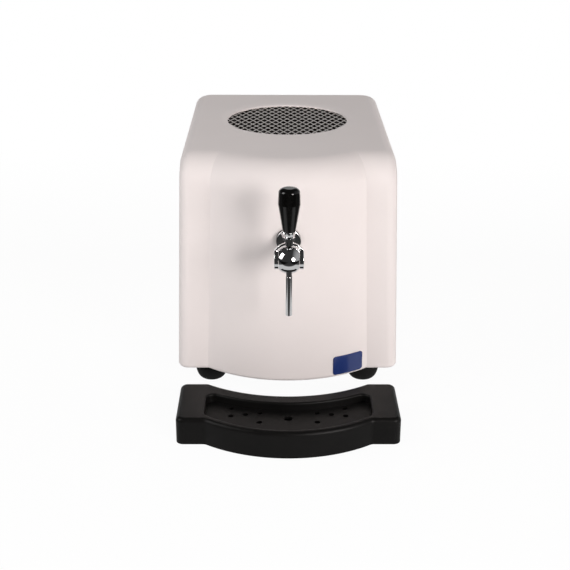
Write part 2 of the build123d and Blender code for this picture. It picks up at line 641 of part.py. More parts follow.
def tap_body():
    """A ball with flats for the lever's eyes, bored across for the cam, with the shank's socket behind."""
    seat_rear = TAP_REAR_Y - SOCKET_DEPTH
    room = 2 * BALL_RADIUS
    ball = Pos(0, LEVER_Y, TAP_HEIGHT) * Sphere(BALL_RADIUS)
    ball &= block(-BALL_HALF_WIDTH, BALL_HALF_WIDTH, LEVER_Y - room, LEVER_Y + room,
                  TAP_HEIGHT - room, TAP_HEIGHT + room)
    casting = ball + rod_y(TAP_RADIUS, 0, TAP_HEIGHT, LEVER_Y, TAP_REAR_Y)
    casting -= rod_x(CAM_BORE, LEVER_Y, TAP_HEIGHT, -BALL_RADIUS, BALL_RADIUS)
    casting -= rod_y(SOCKET_RADIUS + FIT, 0, TAP_HEIGHT, seat_rear, TAP_REAR_Y + OVERCUT)
    casting -= rod_y(ORIFICE_RADIUS, 0, TAP_HEIGHT, LEVER_Y, seat_rear + OVERCUT)
    casting -= rod_y(SPOUT_BORE, 0, TAP_HEIGHT, SPOUT_Y, LEVER_Y)
    casting -= post(SPOUT_BORE, 0, SPOUT_Y, SPOUT_TOP, TAP_HEIGHT)
    casting -= post(SPOUT_ROOT_RADIUS + FIT, 0, SPOUT_Y, TAP_HEIGHT - room, SPOUT_TOP)
    return casting


def pivot_cap(side):
    """A plug that closes the cam bore flush with the ball's flat and carries the pin."""
    inner = BALL_HALF_WIDTH - CAP_LENGTH
    cap = rod_x(CAM_BORE - FIT, LEVER_Y, TAP_HEIGHT, inner, BALL_HALF_WIDTH)
    cap -= rod_x(PIN_RADIUS + FIT, LEVER_Y, TAP_HEIGHT, inner - OVERCUT, BALL_HALF_WIDTH + OVERCUT)
    return cap if side > 0 else mirror(cap, Plane.YZ)


def lever_ring():
    """The stirrup: a bar arched over the ball, with a round eye at each end and a boss for the stem."""
    front = LEVER_Y - STIRRUP_DEPTH / 2
    back = LEVER_Y + STIRRUP_DEPTH / 2
    hoop = rod_y(STIRRUP_OUTER, 0, TAP_HEIGHT, front, back)
    hoop -= rod_y(STIRRUP_INNER, 0, TAP_HEIGHT, front - OVERCUT, back + OVERCUT)
    hoop = fillet(hoop.edges().filter_by(GeomType.CIRCLE), STIRRUP_EDGE_RADIUS)
    arch_foot = TAP_HEIGHT + math.sqrt(EYE_RADIUS ** 2 - STIRRUP_DEPTH ** 2)
    stirrup = hoop & block(-EYE_OUTER, EYE_OUTER, front, back, arch_foot, TAP_HEIGHT + 2 * STIRRUP_OUTER)
    boss = post(STIRRUP_BOSS_RADIUS, 0, LEVER_Y, TAP_HEIGHT, NUT_FOOT)
    stirrup += boss - Pos(0, LEVER_Y, TAP_HEIGHT) * Sphere(STIRRUP_INNER)
    stirrup -= post(STEM_RADIUS, 0, LEVER_Y, TAP_HEIGHT, NUT_FOOT + OVERCUT)
    for side in (-1, 1):
        ends = sorted((side * EYE_INNER, side * EYE_OUTER))
        eye = rod_x(EYE_RADIUS, LEVER_Y, TAP_HEIGHT, *ends)
        rims = eye.edges().group_by(Axis.X)
        eye = fillet(rims[-1] if side > 0 else rims[0], EYE_EDGE_RADIUS)
        seat = sorted((side * BALL_HALF_WIDTH, side * (EYE_INNER + PIN_SEAT)))
        stirrup += eye - rod_x(PIN_RADIUS, LEVER_Y, TAP_HEIGHT, *seat)
    return stirrup


def lever_pin():
    """The cam shaft: a pin between the eyes, with a hub and an off-centre cam in the middle."""
    half = EYE_INNER + PIN_SEAT
    pin = rod_x(PIN_RADIUS, LEVER_Y, TAP_HEIGHT, -half, half)
    pin += rod_x(HUB_RADIUS, LEVER_Y, TAP_HEIGHT, -HUB_HALF, HUB_HALF)
    return pin + rod_x(CAM_RADIUS, LEVER_Y, TAP_HEIGHT - CAM_OFFSET, -HUB_HALF, HUB_HALF)


def lever_stem():
    return post(STEM_RADIUS, 0, LEVER_Y, TAP_HEIGHT + STIRRUP_INNER, HANDLE_FOOT + STEM_IN_HANDLE)


def lock_nut():
    nut = Pos(0, LEVER_Y, NUT_FOOT) * extrude(hexagon(LOCK_NUT_ACROSS_FLATS), LOCK_NUT_HEIGHT)
    return nut - post(STEM_RADIUS, 0, LEVER_Y, NUT_FOOT - OVERCUT, FERRULE_FOOT + OVERCUT)


def ferrule():
    sleeve = post(FERRULE_RADIUS, 0, LEVER_Y, FERRULE_FOOT, HANDLE_FOOT)
    return sleeve - post(STEM_RADIUS, 0, LEVER_Y, FERRULE_FOOT - OVERCUT, HANDLE_FOOT + OVERCUT)


def handle():
    """A turned handle: narrow at the ferrule, swelling to a head with a flattened crown."""
    shoulder = HANDLE_LENGTH - HANDLE_CROWN
    temple = ((HANDLE_RADIUS + HANDLE_HEAD_RADIUS) / 2 + FIT, (HANDLE_SWELL_HEIGHT + shoulder) / 2)
    waist = (HANDLE_WAIST_RADIUS, HANDLE_WAIST_HEIGHT)
    flank = ThreePointArc((HANDLE_FOOT_RADIUS, 0), waist, (HANDLE_RADIUS, HANDLE_SWELL_HEIGHT))
    brow = ThreePointArc((HANDLE_RADIUS, HANDLE_SWELL_HEIGHT), temple, (HANDLE_HEAD_RADIUS, shoulder))
    crown_reach = HANDLE_HEAD_RADIUS - HANDLE_CROWN_FLAT
    crown = EllipticalCenterArc((HANDLE_CROWN_FLAT, shoulder), crown_reach, HANDLE_CROWN, 0, arc_size=90)
    core = Polyline((HANDLE_CROWN_FLAT, HANDLE_LENGTH), (0, HANDLE_LENGTH), (0, 0), (HANDLE_FOOT_RADIUS, 0))
    profile = make_face(core + flank + brow + crown)
    grip = revolve(Plane.XZ * profile, Axis.Z)
    grip = fillet(grip.edges().group_by(Axis.Z)[0], HANDLE_FOOT_EDGE)
    grip -= post(STEM_RADIUS, 0, 0, -OVERCUT, STEM_IN_HANDLE)
    return Pos(0, LEVER_Y, HANDLE_FOOT) * grip


PLUNGER_TIP_Y = LEVER_Y + math.sqrt((CAM_RADIUS + PLUNGER_RADIUS + SEAT_GAP) ** 2 - CAM_OFFSET ** 2)
SEAL_FRONT = TAP_REAR_Y - SOCKET_DEPTH + FIT
SEAL_BACK = SEAL_FRONT + SEAL_THICKNESS


def plunger():
    rod = rod_y(PLUNGER_RADIUS, 0, TAP_HEIGHT, PLUNGER_TIP_Y, SEAL_BACK + PLUNGER_HEAD)
    rod += Pos(0, PLUNGER_TIP_Y, TAP_HEIGHT) * Sphere(PLUNGER_RADIUS)
    return rod + rod_y(PLUNGER_HEAD_RADIUS, 0, TAP_HEIGHT, SEAL_BACK, SEAL_BACK + PLUNGER_HEAD)


def plunger_seal():
    washer = rod_y(SEAL_RADIUS, 0, TAP_HEIGHT, SEAL_FRONT, SEAL_BACK)
    return washer - rod_y(PLUNGER_RADIUS, 0, TAP_HEIGHT, SEAL_FRONT - OVERCUT, SEAL_BACK + OVERCUT)


def spout_tube():
    """A straight tube with a drawn-in root that is fixed in the ball."""
    tube = post(SPOUT_RADIUS, 0, SPOUT_Y, SPOUT_END_HEIGHT, SPOUT_SHOULDER)
    tube += post(SPOUT_ROOT_RADIUS, 0, SPOUT_Y, SPOUT_SHOULDER, SPOUT_TOP)
    return tube - post(SPOUT_BORE, 0, SPOUT_Y, SPOUT_END_HEIGHT - OVERCUT, SPOUT_TOP + OVERCUT)


TRAY_REAR = SHOULDER_Y - TRAY_GAP
TRAY_FRONT = TRAY_REAR - TRAY_DEPTH


def tray_plan(half, rear, front):
    """A band with flat ends and a bow between the creases, hollow behind and full in front."""
    crease = TRAY_CREASE
    return make_face(
        Polyline((-crease, front), (-half, front), (-half, rear), (-crease, rear))
        + ThreePointArc((-crease, rear), (0, rear - TRAY_BOW), (crease, rear))
        + Polyline((crease, rear), (half, rear), (half, front), (crease, front))
        + ThreePointArc((crease, front), (0, front - TRAY_BOW), (-crease, front)))


def tray_form(inset, z0, z1):
    half = TRAY_WIDTH / 2 - inset
    form = Pos(0, 0, z0) * extrude(tray_plan(half, TRAY_REAR - inset, TRAY_FRONT + inset), z1 - z0)
    corner_x = half - 2 * TRAY_CORNER_RADIUS
    corners = [edge for edge in form.edges().filter_by(Axis.Z) if abs(edge.center().X) > corner_x]
    form = fillet(corners, TRAY_CORNER_RADIUS - inset)
    creases = [edge for edge in form.edges().filter_by(Axis.Z) if abs(edge.center().X) < corner_x]
    return fillet(creases, TRAY_CREASE_RADIUS)


def recess_form(grow, z0, z1):
    half = RECESS_HALF_WIDTH + grow
    rear = TRAY_REAR - RECESS_REAR_MARGIN + grow
    front = TRAY_FRONT + RECESS_FRONT_MARGIN - grow
    plan = make_face(
        Line((-half, front), (-half, rear))
        + ThreePointArc((-half, rear), (0, rear - RECESS_REAR_BOW), (half, rear))
        + Line((half, rear), (half, front))
        + ThreePointArc((half, front), (0, front - RECESS_FRONT_BOW), (-half, front)))
    form = Pos(0, 0, z0) * extrude(plan, z1 - z0)
    return fillet(form.edges().filter_by(Axis.Z), RECESS_CORNER_RADIUS + grow)


def drain_holes():
    """Centre drain under the spout, with two mirrored groups of small drains beside it."""
    middle = (TRAY_REAR + TRAY_FRONT) / 2 - TRAY_BOW / 2
    small = [(DRAIN_INNER_X, y) for y in DRAIN_INNER_Y]
    small += [(DRAIN_MIDDLE_X, DRAIN_MIDDLE_Y)]
    small += [(DRAIN_OUTER_X, y) for y in DRAIN_OUTER_Y]
    spots = [(side * x, middle + y, DRAIN_RADIUS) for side in (-1, 1) for x, y in small]
    return spots + [(0.0, middle - CENTRE_DRAIN_FORWARD, CENTRE_DRAIN_RADIUS)]


def drip_tray():
    floor = TRAY_HEIGHT - RECESS_DEPTH
    above = TRAY_HEIGHT + OVERCUT
    tray = tray_form(0.0, 0.0, TRAY_HEIGHT)
    tray = fillet(tray.edges().group_by(Axis.Z)[-1], TRAY_EDGE_RADIUS)
    recess = recess_form(0.0, floor, TRAY_HEIGHT)
    mouth = [edge.center() for edge in recess.edges().group_by(Axis.Z)[-1]]
    tray -= recess
    rims = tray.edges().group_by(Axis.Z)[-1]
    lip = [edge for edge in rims if min((edge.center() - place).length for place in mouth) < SEAT_GAP]
    tray = fillet(lip, RECESS_EDGE_RADIUS)
    hollow = tray_form(TRAY_WALL, TRAY_WALL, TRAY_HEIGHT - TRAY_WALL)
    tray -= hollow - recess_form(TRAY_WALL, floor - TRAY_WALL, above)
    for x, y, radius in drain_holes():
        tray -= post(radius, x, y, floor - 2 * TRAY_WALL, above)
    return tray


def control_block(width, height, z, y0, y1, grow=0.0):
    half_x = width / 2 + grow
    half_z = height / 2 + grow
    return block(CONTROL_X - half_x, CONTROL_X + half_x, y0, y1, z - half_z, z + half_z)


def rear_panel():
    panel = rounded_panel(PANEL_HALF_WIDTH, PANEL_FOOT, PANEL_TOP, PANEL_CORNER_RADIUS,
                          CASING_BACK, PANEL_BACK)
    front = CASING_BACK - OVERCUT
    back = PANEL_BACK + OVERCUT
    slot = extrude(SlotOverall(LOUVRE_LENGTH, LOUVRE_HEIGHT), back - front)
    for column in (-1, 0):
        x = LOUVRE_MIDDLE_X + (column + 0.5) * (LOUVRE_LENGTH + LOUVRE_COLUMN_GAP)
        for row in range(LOUVRE_COUNT):
            z = PANEL_TOP - 2 * PANEL_LAP - LOUVRE_PITCH * (row + 0.5)
            panel -= Pos(x, back, z) * Rot(90, 0, 0) * slot
    for x, z in PANEL_SCREWS:
        panel -= rod_y(SCREW_RADIUS + FIT, x, z, front, back)
    panel -= rod_y(THERMOSTAT_NECK_RADIUS + FIT, CONTROL_X, KNOB_Z, front, back)
    panel -= control_block(SWITCH_WIDTH, SWITCH_HEIGHT, SWITCH_Z, front, back, FIT)
    panel -= control_block(SOCKET_WIDTH, SOCKET_HEIGHT, SOCKET_Z, front, back, FIT)
    return panel - rod_y(INLET_BODY_RADIUS + FIT, INLET_X, INLET_Z, front, back)


def panel_screws():
    level = Rot(90, 0, 0) * screw(SCREW_LENGTH)
    return Compound(children=[Pos(x, PANEL_BACK, z) * level for x, z in PANEL_SCREWS])


def thermostat_body():
    front = CASING_BACK - THERMOSTAT_DEPTH
    case = control_block(THERMOSTAT_SIZE, THERMOSTAT_SIZE, KNOB_Z, front, CASING_BACK)
    case += rod_y(THERMOSTAT_NECK_RADIUS, CONTROL_X, KNOB_Z, CASING_BACK, PANEL_BACK)
    bore = SPINDLE_RADIUS + FIT
    return case - rod_y(bore, CONTROL_X, KNOB_Z, front + SPINDLE_END_WALL, PANEL_BACK + OVERCUT)


def thermostat_knob():
    """A round skirt with a bar grip across it, on the thermostat's spindle."""
    front = PANEL_BACK + SEAT_GAP
    back = PANEL_BACK + KNOB_LENGTH
    knob = rod_y(KNOB_RADIUS, CONTROL_X, KNOB_Z, front, back)
    knob = fillet(knob.edges().group_by(Axis.Y)[-1], KNOB_EDGE_RADIUS)
    for side in (-1, 1):
        ends = sorted((CONTROL_X + side * KNOB_GRIP_HALF, CONTROL_X + side * 2 * KNOB_RADIUS))
        knob -= block(*ends, front + KNOB_SKIRT, back + OVERCUT, KNOB_Z - KNOB_RADIUS, KNOB_Z + KNOB_RADIUS)
    spindle_end = CASING_BACK - THERMOSTAT_DEPTH + SPINDLE_END_WALL + SEAT_GAP
    return knob + rod_y(SPINDLE_RADIUS, CONTROL_X, KNOB_Z, spindle_end, front)


def switch_frame():
    lip = 2 * SWITCH_LIP
    wall = 2 * SWITCH_WALL
    face = PANEL_BACK + SWITCH_BEZEL
    frame = control_block(SWITCH_WIDTH + lip, SWITCH_HEIGHT + lip, SWITCH_Z, PANEL_BACK, face)
    frame += control_block(SWITCH_WIDTH, SWITCH_HEIGHT, SWITCH_Z, CASING_BACK - SWITCH_DEPTH, PANEL_BACK)
    frame -= control_block(SWITCH_WIDTH - wall, SWITCH_HEIGHT - wall, SWITCH_Z,
                           PANEL_BACK - SWITCH_WELL, face + OVERCUT)
    reach = SWITCH_WIDTH / 2 - AXLE_END_WALL
    axle_y = PANEL_BACK - AXLE_DEPTH
    return frame - rod_x(AXLE_RADIUS + FIT, axle_y, SWITCH_Z, CONTROL_X - reach, CONTROL_X + reach)


def switch_rocker():
    """A rocker with a dished face and a cross axle, standing tilted to its upper side."""
    half_x = SWITCH_WIDTH / 2 - SWITCH_WALL - SEAT_GAP
    half_z = SWITCH_HEIGHT / 2 - SWITCH_WALL - ROCKER_CLEARANCE
    face = AXLE_DEPTH + SWITCH_BEZEL + ROCKER_PROUD
    rocker = block(-half_x, half_x, -ROCKER_SKIRT, face, -half_z, half_z)
    dish_y = face + ROCKER_DISH_RADIUS - ROCKER_DISH
    rocker -= rod_x(ROCKER_DISH_RADIUS, dish_y, 0, -SWITCH_WIDTH, SWITCH_WIDTH)
    reach = SWITCH_WIDTH / 2 - AXLE_END_WALL - SEAT_GAP
    rocker += rod_x(AXLE_RADIUS, 0, 0, -reach, reach)
    return Pos(CONTROL_X, PANEL_BACK - AXLE_DEPTH, SWITCH_Z) * Rot(ROCKER_TILT, 0, 0) * rocker


def mains_inlet():
    """A flanged appliance inlet with a well and three flat contacts standing in it."""
    flange_back = PANEL_BACK + SOCKET_FLANGE
    well_front = PANEL_BACK - SOCKET_WELL
    flange_width = SOCKET_WIDTH + 2 * SOCKET_FLANGE_SIDE
    flange_height = SOCKET_HEIGHT + 2 * SOCKET_FLANGE_RIM
    socket = control_block(flange_width, flange_height, SOCKET_Z, PANEL_BACK, flange_back)
    body_front = CASING_BACK - SOCKET_BODY_DEPTH
    socket += control_block(SOCKET_WIDTH, SOCKET_HEIGHT, SOCKET_Z, body_front, PANEL_BACK)
    well_width = SOCKET_WIDTH - 2 * SOCKET_SIDE_WALL
    well_height = SOCKET_HEIGHT - 2 * SOCKET_RIM_WALL
    socket -= control_block(well_width, well_height, SOCKET_Z, well_front, flange_back + OVERCUT)
    contacts = [(-BLADE_SPREAD, -BLADE_DROP), (0.0, EARTH_RISE), (BLADE_SPREAD, -BLADE_DROP)]
    for x, z in contacts:
        contact = control_block(CONTACT_WIDTH, CONTACT_HEIGHT, SOCKET_Z + z, well_front - OVERCUT,
                                well_front + CONTACT_LENGTH)
        socket += Pos(x, 0, 0) * contact
    return socket


INLET_STUB_END = CASING_BACK - INLET_STUB


def inlet_fitting():
    """Bulkhead hose fitting: hexagon outside, barb behind, stub inside."""
    hex_back = PANEL_BACK + INLET_HEX_LENGTH
    barb_end = PANEL_BACK + INLET_REACH
    prism = extrude(hexagon(INLET_HEX_ACROSS_FLATS), INLET_HEX_LENGTH)
    fitting = Pos(INLET_X, hex_back, INLET_Z) * Rot(90, 0, 0) * prism
    fitting += rod_y(INLET_BODY_RADIUS, INLET_X, INLET_Z, INLET_STUB_END, PANEL_BACK)
    fitting += rod_y(INLET_BARB_RADIUS, INLET_X, INLET_Z, hex_back, barb_end)
    bore = INLET_BARB_RADIUS - INLET_BARB_WALL
    return fitting - rod_y(bore, INLET_X, INLET_Z, INLET_STUB_END - OVERCUT, barb_end + OVERCUT)


JACKET_HALF_WIDTH = HALF_WIDTH - JACKET_FROM_SIDE
JACKET_FRONT = SHOULDER_Y + JACKET_FROM_SHOULDER
JACKET_REAR = JACKET_FRONT + JACKET_DEPTH
JACKET_TOP = BASE_TOP + JACKET_HEIGHT
LID_TOP = JACKET_TOP + LID_THICKNESS
COIL_Y = (JACKET_FRONT + JACKET_REAR) / 2
RISER_TOP = LID_TOP + RISER_HEIGHT
LINES_OVER = RISER_TOP + LINE_RUN


def coil_edges(radius, turns, pitch, z0, start, run):
    """One unbroken path: down a riser, round the turns and up the other riser."""
    rise = pitch / (2 * math.pi)
    slope = math.atan2(rise, radius)

    def place(angle):
        height = z0 + rise * (angle - start)
        return Vector(radius * math.cos(angle), COIL_Y + radius * math.sin(angle), height)

    def heading(angle):
        return Vector(-radius * math.sin(angle), radius * math.cos(angle), rise).normalized()

    bend = COIL_BEND_RADIUS
    up = Vector(0, 0, 1)
    first = place(start)
    level = Vector(-math.sin(start), math.cos(start), 0)
    low = first - heading(start) * run
    drop = low - level * (bend * (1 + math.sin(slope))) + up * (bend * math.cos(slope))
    top_in = Vector(drop.X, drop.Y, RISER_TOP)
    edges = [Edge.make_line(top_in, drop), Edge.make_tangent_arc(drop, up * -1, low)]
    edges.append(Edge.make_line(low, first))
    quarter = math.pi / 2
    for index in range(turns * 4):
        a0 = start + index * quarter
        p0, p1 = place(a0), place(a0 + quarter)
        t0, t1 = heading(a0), heading(a0 + quarter)
        chord = p1 - p0
        both = t0 + t1
        bent = 1 - t0.dot(t1)
        reach = (math.sqrt(chord.dot(both) ** 2 + 2 * bent * chord.dot(chord)) - chord.dot(both)) / (2 * bent)
        middle = (p0 + p1 + (t0 - t1) * reach) * 0.5
        edges.append(Edge.make_tangent_arc(p0, t0, middle))
        edges.append(Edge.make_tangent_arc(middle, edges[-1].tangent_at(1), p1))
    last = start + turns * 2 * math.pi
    end = place(last)
    level = Vector(-math.sin(last), math.cos(last), 0)
    lift = end + level * (bend * (1 - math.sin(slope))) + up * (bend * math.cos(slope))
    top_out = Vector(lift.X, lift.Y, RISER_TOP)
    edges += [Edge.make_tangent_arc(end, heading(last), lift), Edge.make_line(lift, top_out)]
    return edges, top_in, top_out


def self_gap(edges, tube_radius):
    """Least distance between stretches of the tube that aren't neighbours along it."""
    points = []
    length = 0.0
    for edge in edges:
        count = max(2, int(edge.length / 3))
        for step in range(count):
            points.append((length + edge.length * step / count, edge.position_at(step / count)))
        length += edge.length
    apart = 6 * tube_radius
    least = length
    for index, (s, p) in enumerate(points):
        for t, q in points[index + 1:]:
            if t - s > apart:
                least = min(least, (p - q).length)
    return least - 2 * tube_radius


def swept_tube(edges, tube_radius):
    path = Wire(edges)
    section = Plane(origin=path @ 0, z_dir=path % 0) * Circle(tube_radius)
    return sweep(section, path=path)


COIL_FOOT = BASE_TOP + JACKET_WALL + LINER_WALL + DRINK_COIL_PITCH
EVAPORATOR_FOOT = COIL_FOOT + 2 * DRINK_COIL_PITCH
DRINK_EDGES, DRINK_IN, DRINK_OUT = coil_edges(
    DRINK_COIL_RADIUS, DRINK_COIL_TURNS, DRINK_COIL_PITCH, COIL_FOOT, -math.pi / 2, DRINK_COIL_LEAD)
EVAPORATOR_EDGES, LIQUID_IN, SUCTION_OUT = coil_edges(
    EVAPORATOR_RADIUS, EVAPORATOR_TURNS, EVAPORATOR_PITCH, EVAPORATOR_FOOT, math.pi / 2, EVAPORATOR_LEAD)


def drink_coil():
    print("drink coil self gap:", round(self_gap(DRINK_EDGES, DRINK_TUBE_RADIUS), 2))
    return swept_tube(DRINK_EDGES, DRINK_TUBE_RADIUS)


def evaporator_coil():
    print("evaporator self gap:", round(self_gap(EVAPORATOR_EDGES, EVAPORATOR_TUBE_RADIUS), 2))
    return swept_tube(EVAPORATOR_EDGES, EVAPORATOR_TUBE_RADIUS)


def jacket_block(z0, z1):
    return block(-JACKET_HALF_WIDTH, JACKET_HALF_WIDTH, JACKET_FRONT, JACKET_REAR, z0, z1)


def tank_block(inset, z0, z1):
    half = JACKET_HALF_WIDTH - JACKET_WALL - inset
    return block(-half, half, JACKET_FRONT + JACKET_WALL + inset, JACKET_REAR - JACKET_WALL - inset, z0, z1)


TANK_FOOT = BASE_TOP + JACKET_WALL


def foam_jacket():
    return jacket_block(BASE_TOP, JACKET_TOP) - tank_block(0.0, TANK_FOOT, JACKET_TOP + OVERCUT)


def tank_liner():
    water = tank_block(LINER_WALL, TANK_FOOT + LINER_WALL, JACKET_TOP + OVERCUT)
    return tank_block(0.0, TANK_FOOT, JACKET_TOP) - water


def tank_lid():
    """A foam lid with a plug in the tank's mouth, four holes for the risers and, on a tall tank, a channel
    in its front edge where the tap hose turns up."""
    plug_foot = JACKET_TOP - LID_PLUG
    lid = jacket_block(JACKET_TOP, LID_TOP)
    lid += tank_block(LINER_WALL + SEAT_GAP, plug_foot, JACKET_TOP)
    risers = [(DRINK_IN, DRINK_TUBE_RADIUS), (DRINK_OUT, DRINK_TUBE_RADIUS)]
    risers += [(LIQUID_IN, EVAPORATOR_TUBE_RADIUS), (SUCTION_OUT, EVAPORATOR_TUBE_RADIUS)]
    for place, radius in risers:
        lid -= post(radius + SEAT_GAP, place.X, place.Y, plug_foot - OVERCUT, LID_TOP + OVERCUT)
    channel = HOSE_RADIUS + SEAT_GAP
    lid -= block(-channel, channel, JACKET_FRONT - OVERCUT, HOSE_TURN_Y + channel,
                 TAP_HEIGHT - channel, max(LID_TOP, TAP_HEIGHT) + OVERCUT)
    return lid


COMPRESSOR_X = COMPRESSOR_FROM_SIDE - HALF_WIDTH
COMPRESSOR_Y = SHOULDER_Y + COMPRESSOR_FROM_SHOULDER
COMPRESSOR_FOOT = BASE_TOP + MOUNT_HEIGHT
COMPRESSOR_TOP = COMPRESSOR_FOOT + COMPRESSOR_HEIGHT
PORT_TOP = COMPRESSOR_TOP + PORT_HEIGHT
DISCHARGE_PORT = Vector(COMPRESSOR_X + PORT_OFFSET, COMPRESSOR_Y, PORT_TOP)
SUCTION_PORT = Vector(COMPRESSOR_X, COMPRESSOR_Y - PORT_OFFSET, PORT_TOP)
MOUNT_REACH = COMPRESSOR_FOOT_REACH * math.cos(math.radians(45))
MOUNTS = [
    (COMPRESSOR_X + across * MOUNT_REACH, COMPRESSOR_Y + along * MOUNT_REACH)
    for across in (-1, 1)
    for along in (-1, 1)
]


def compressor():
    """Hermetic can with rounded ends on a foot plate, with its two ports on top."""
    can = post(COMPRESSOR_RADIUS, COMPRESSOR_X, COMPRESSOR_Y, COMPRESSOR_FOOT, COMPRESSOR_TOP)
    can = fillet(can.edges().group_by(Axis.Z)[-1], COMPRESSOR_DOME_RADIUS)
    side = 2 * (MOUNT_REACH + MOUNT_RADIUS)
    plate = extrude(RectangleRounded(side, side, COMPRESSOR_FOOT_CORNER), COMPRESSOR_FOOT_PLATE)
    can += Pos(COMPRESSOR_X, COMPRESSOR_Y, COMPRESSOR_FOOT) * plate
    hole = SCREW_RADIUS + SEAT_GAP
    for x, y in MOUNTS:
        can -= post(hole, x, y, COMPRESSOR_FOOT - OVERCUT, COMPRESSOR_FOOT + COMPRESSOR_FOOT_PLATE + OVERCUT)
    for port in (DISCHARGE_PORT, SUCTION_PORT):
        can += post(PORT_RADIUS, port.X, port.Y, COMPRESSOR_TOP - OVERCUT, PORT_TOP)
    return can


def compressor_mounts():
    return Compound(children=[post(MOUNT_RADIUS, x, y, BASE_TOP, COMPRESSOR_FOOT) for x, y in MOUNTS])


CONDENSER_HALF_WIDTH = HALF_WIDTH - CONDENSER_FROM_SIDE
CONDENSER_FRONT = SHOULDER_Y + CONDENSER_FROM_SHOULDER
CONDENSER_REAR = CONDENSER_FRONT + CONDENSER_DEPTH
CONDENSER_Y = (CONDENSER_FRONT + CONDENSER_REAR) / 2
CONDENSER_TOP = BASE_TOP + CONDENSER_HEIGHT
CONDENSER_IN = Vector(CONDENSER_HALF_WIDTH - CONDENSER_PORT_INSET, CONDENSER_Y, CONDENSER_TOP)
CONDENSER_OUT = Vector(CONDENSER_HALF_WIDTH, CONDENSER_Y, BASE_TOP + CONDENSER_OUTLET_RISE)


def condenser():
    """A core with a row of plate fins, cut as grooves from front and back."""
    half = CONDENSER_HALF_WIDTH
    stack = block(-half, half, CONDENSER_FRONT, CONDENSER_REAR, BASE_TOP, CONDENSER_TOP)
    pitch = 2 * half / CONDENSER_FINS
    groove = (pitch - CONDENSER_FIN_THICKNESS) / 2
    core_front = CONDENSER_Y - CONDENSER_CORE / 2
    core_rear = CONDENSER_Y + CONDENSER_CORE / 2
    groove_foot = BASE_TOP + CONDENSER_FOOT_RAIL
    groove_top = CONDENSER_TOP - CONDENSER_HEAD_RAIL
    for index in range(CONDENSER_FINS - 1):
        x = -half + (index + 1) * pitch
        stack -= block(x - groove, x + groove, CONDENSER_FRONT - OVERCUT, core_front, groove_foot, groove_top)
        stack -= block(x - groove, x + groove, core_rear, CONDENSER_REAR + OVERCUT, groove_foot, groove_top)
    return stack


def line_along(points, tube_radius):
    path = FilletPolyline(*points, radius=LINE_BEND)
    section = Plane(origin=path @ 0, z_dir=path % 0) * Circle(tube_radius)
    return sweep(section, path=path)


def tap_hose():
    over = max(TAP_HEIGHT, RISER_TOP) + HOSE_RUN
    return line_along([Vector(0, TAIL_Y, TAP_HEIGHT), Vector(0, HOSE_TURN_Y, TAP_HEIGHT),
                       Vector(0, HOSE_TURN_Y, over), Vector(DRINK_OUT.X, DRINK_OUT.Y, over), DRINK_OUT],
                      HOSE_RADIUS)


def inlet_hose():
    stub = Vector(INLET_X, INLET_STUB_END, INLET_Z)
    behind = stub.Y - LINE_RUN
    return line_along([stub, Vector(INLET_X, behind, INLET_Z), Vector(INLET_X, behind, LINES_OVER),
                       Vector(INLET_X, DRINK_IN.Y, LINES_OVER), Vector(DRINK_IN.X, DRINK_IN.Y, LINES_OVER),
                       DRINK_IN], HOSE_RADIUS)


def suction_line():
    return line_along([SUCTION_OUT, Vector(SUCTION_OUT.X, SUCTION_OUT.Y, LINES_OVER),
                       Vector(SUCTION_PORT.X, SUCTION_OUT.Y, LINES_OVER),
                       Vector(SUCTION_PORT.X, SUCTION_PORT.Y, LINES_OVER), SUCTION_PORT], LINE_RADIUS)


def discharge_line():
    over = PORT_TOP + LINE_RUN
    return line_along([DISCHARGE_PORT, Vector(DISCHARGE_PORT.X, DISCHARGE_PORT.Y, over),
                       Vector(CONDENSER_IN.X, DISCHARGE_PORT.Y, over),
                       Vector(CONDENSER_IN.X, CONDENSER_IN.Y, over), CONDENSER_IN], LINE_RADIUS)


DRIER_X = CONDENSER_HALF_WIDTH + LINE_RUN
DRIER_Y = CONDENSER_REAR + LINE_RUN
DRIER_FOOT = CONDENSER_OUT.Z + LINE_RUN
DRIER_TOP = DRIER_FOOT + DRIER_LENGTH


def filter_drier():
    can = post(DRIER_RADIUS, DRIER_X, DRIER_Y, DRIER_FOOT, DRIER_TOP)
    return fillet(can.edges().filter_by(GeomType.CIRCLE), DRIER_EDGE_RADIUS)


def liquid_line():
    low = line_along([CONDENSER_OUT, Vector(DRIER_X, CONDENSER_OUT.Y, CONDENSER_OUT.Z),
                      Vector(DRIER_X, DRIER_Y, CONDENSER_OUT.Z), Vector(DRIER_X, DRIER_Y, DRIER_FOOT)],
                     LINE_RADIUS)
    high = line_along([Vector(DRIER_X, DRIER_Y, DRIER_TOP), Vector(DRIER_X, DRIER_Y, LINES_OVER),
                       Vector(DRIER_X, LIQUID_IN.Y, LINES_OVER), Vector(LIQUID_IN.X, LIQUID_IN.Y, LINES_OVER),
                       LIQUID_IN], LINE_RADIUS)
    return Compound(children=[low, high])


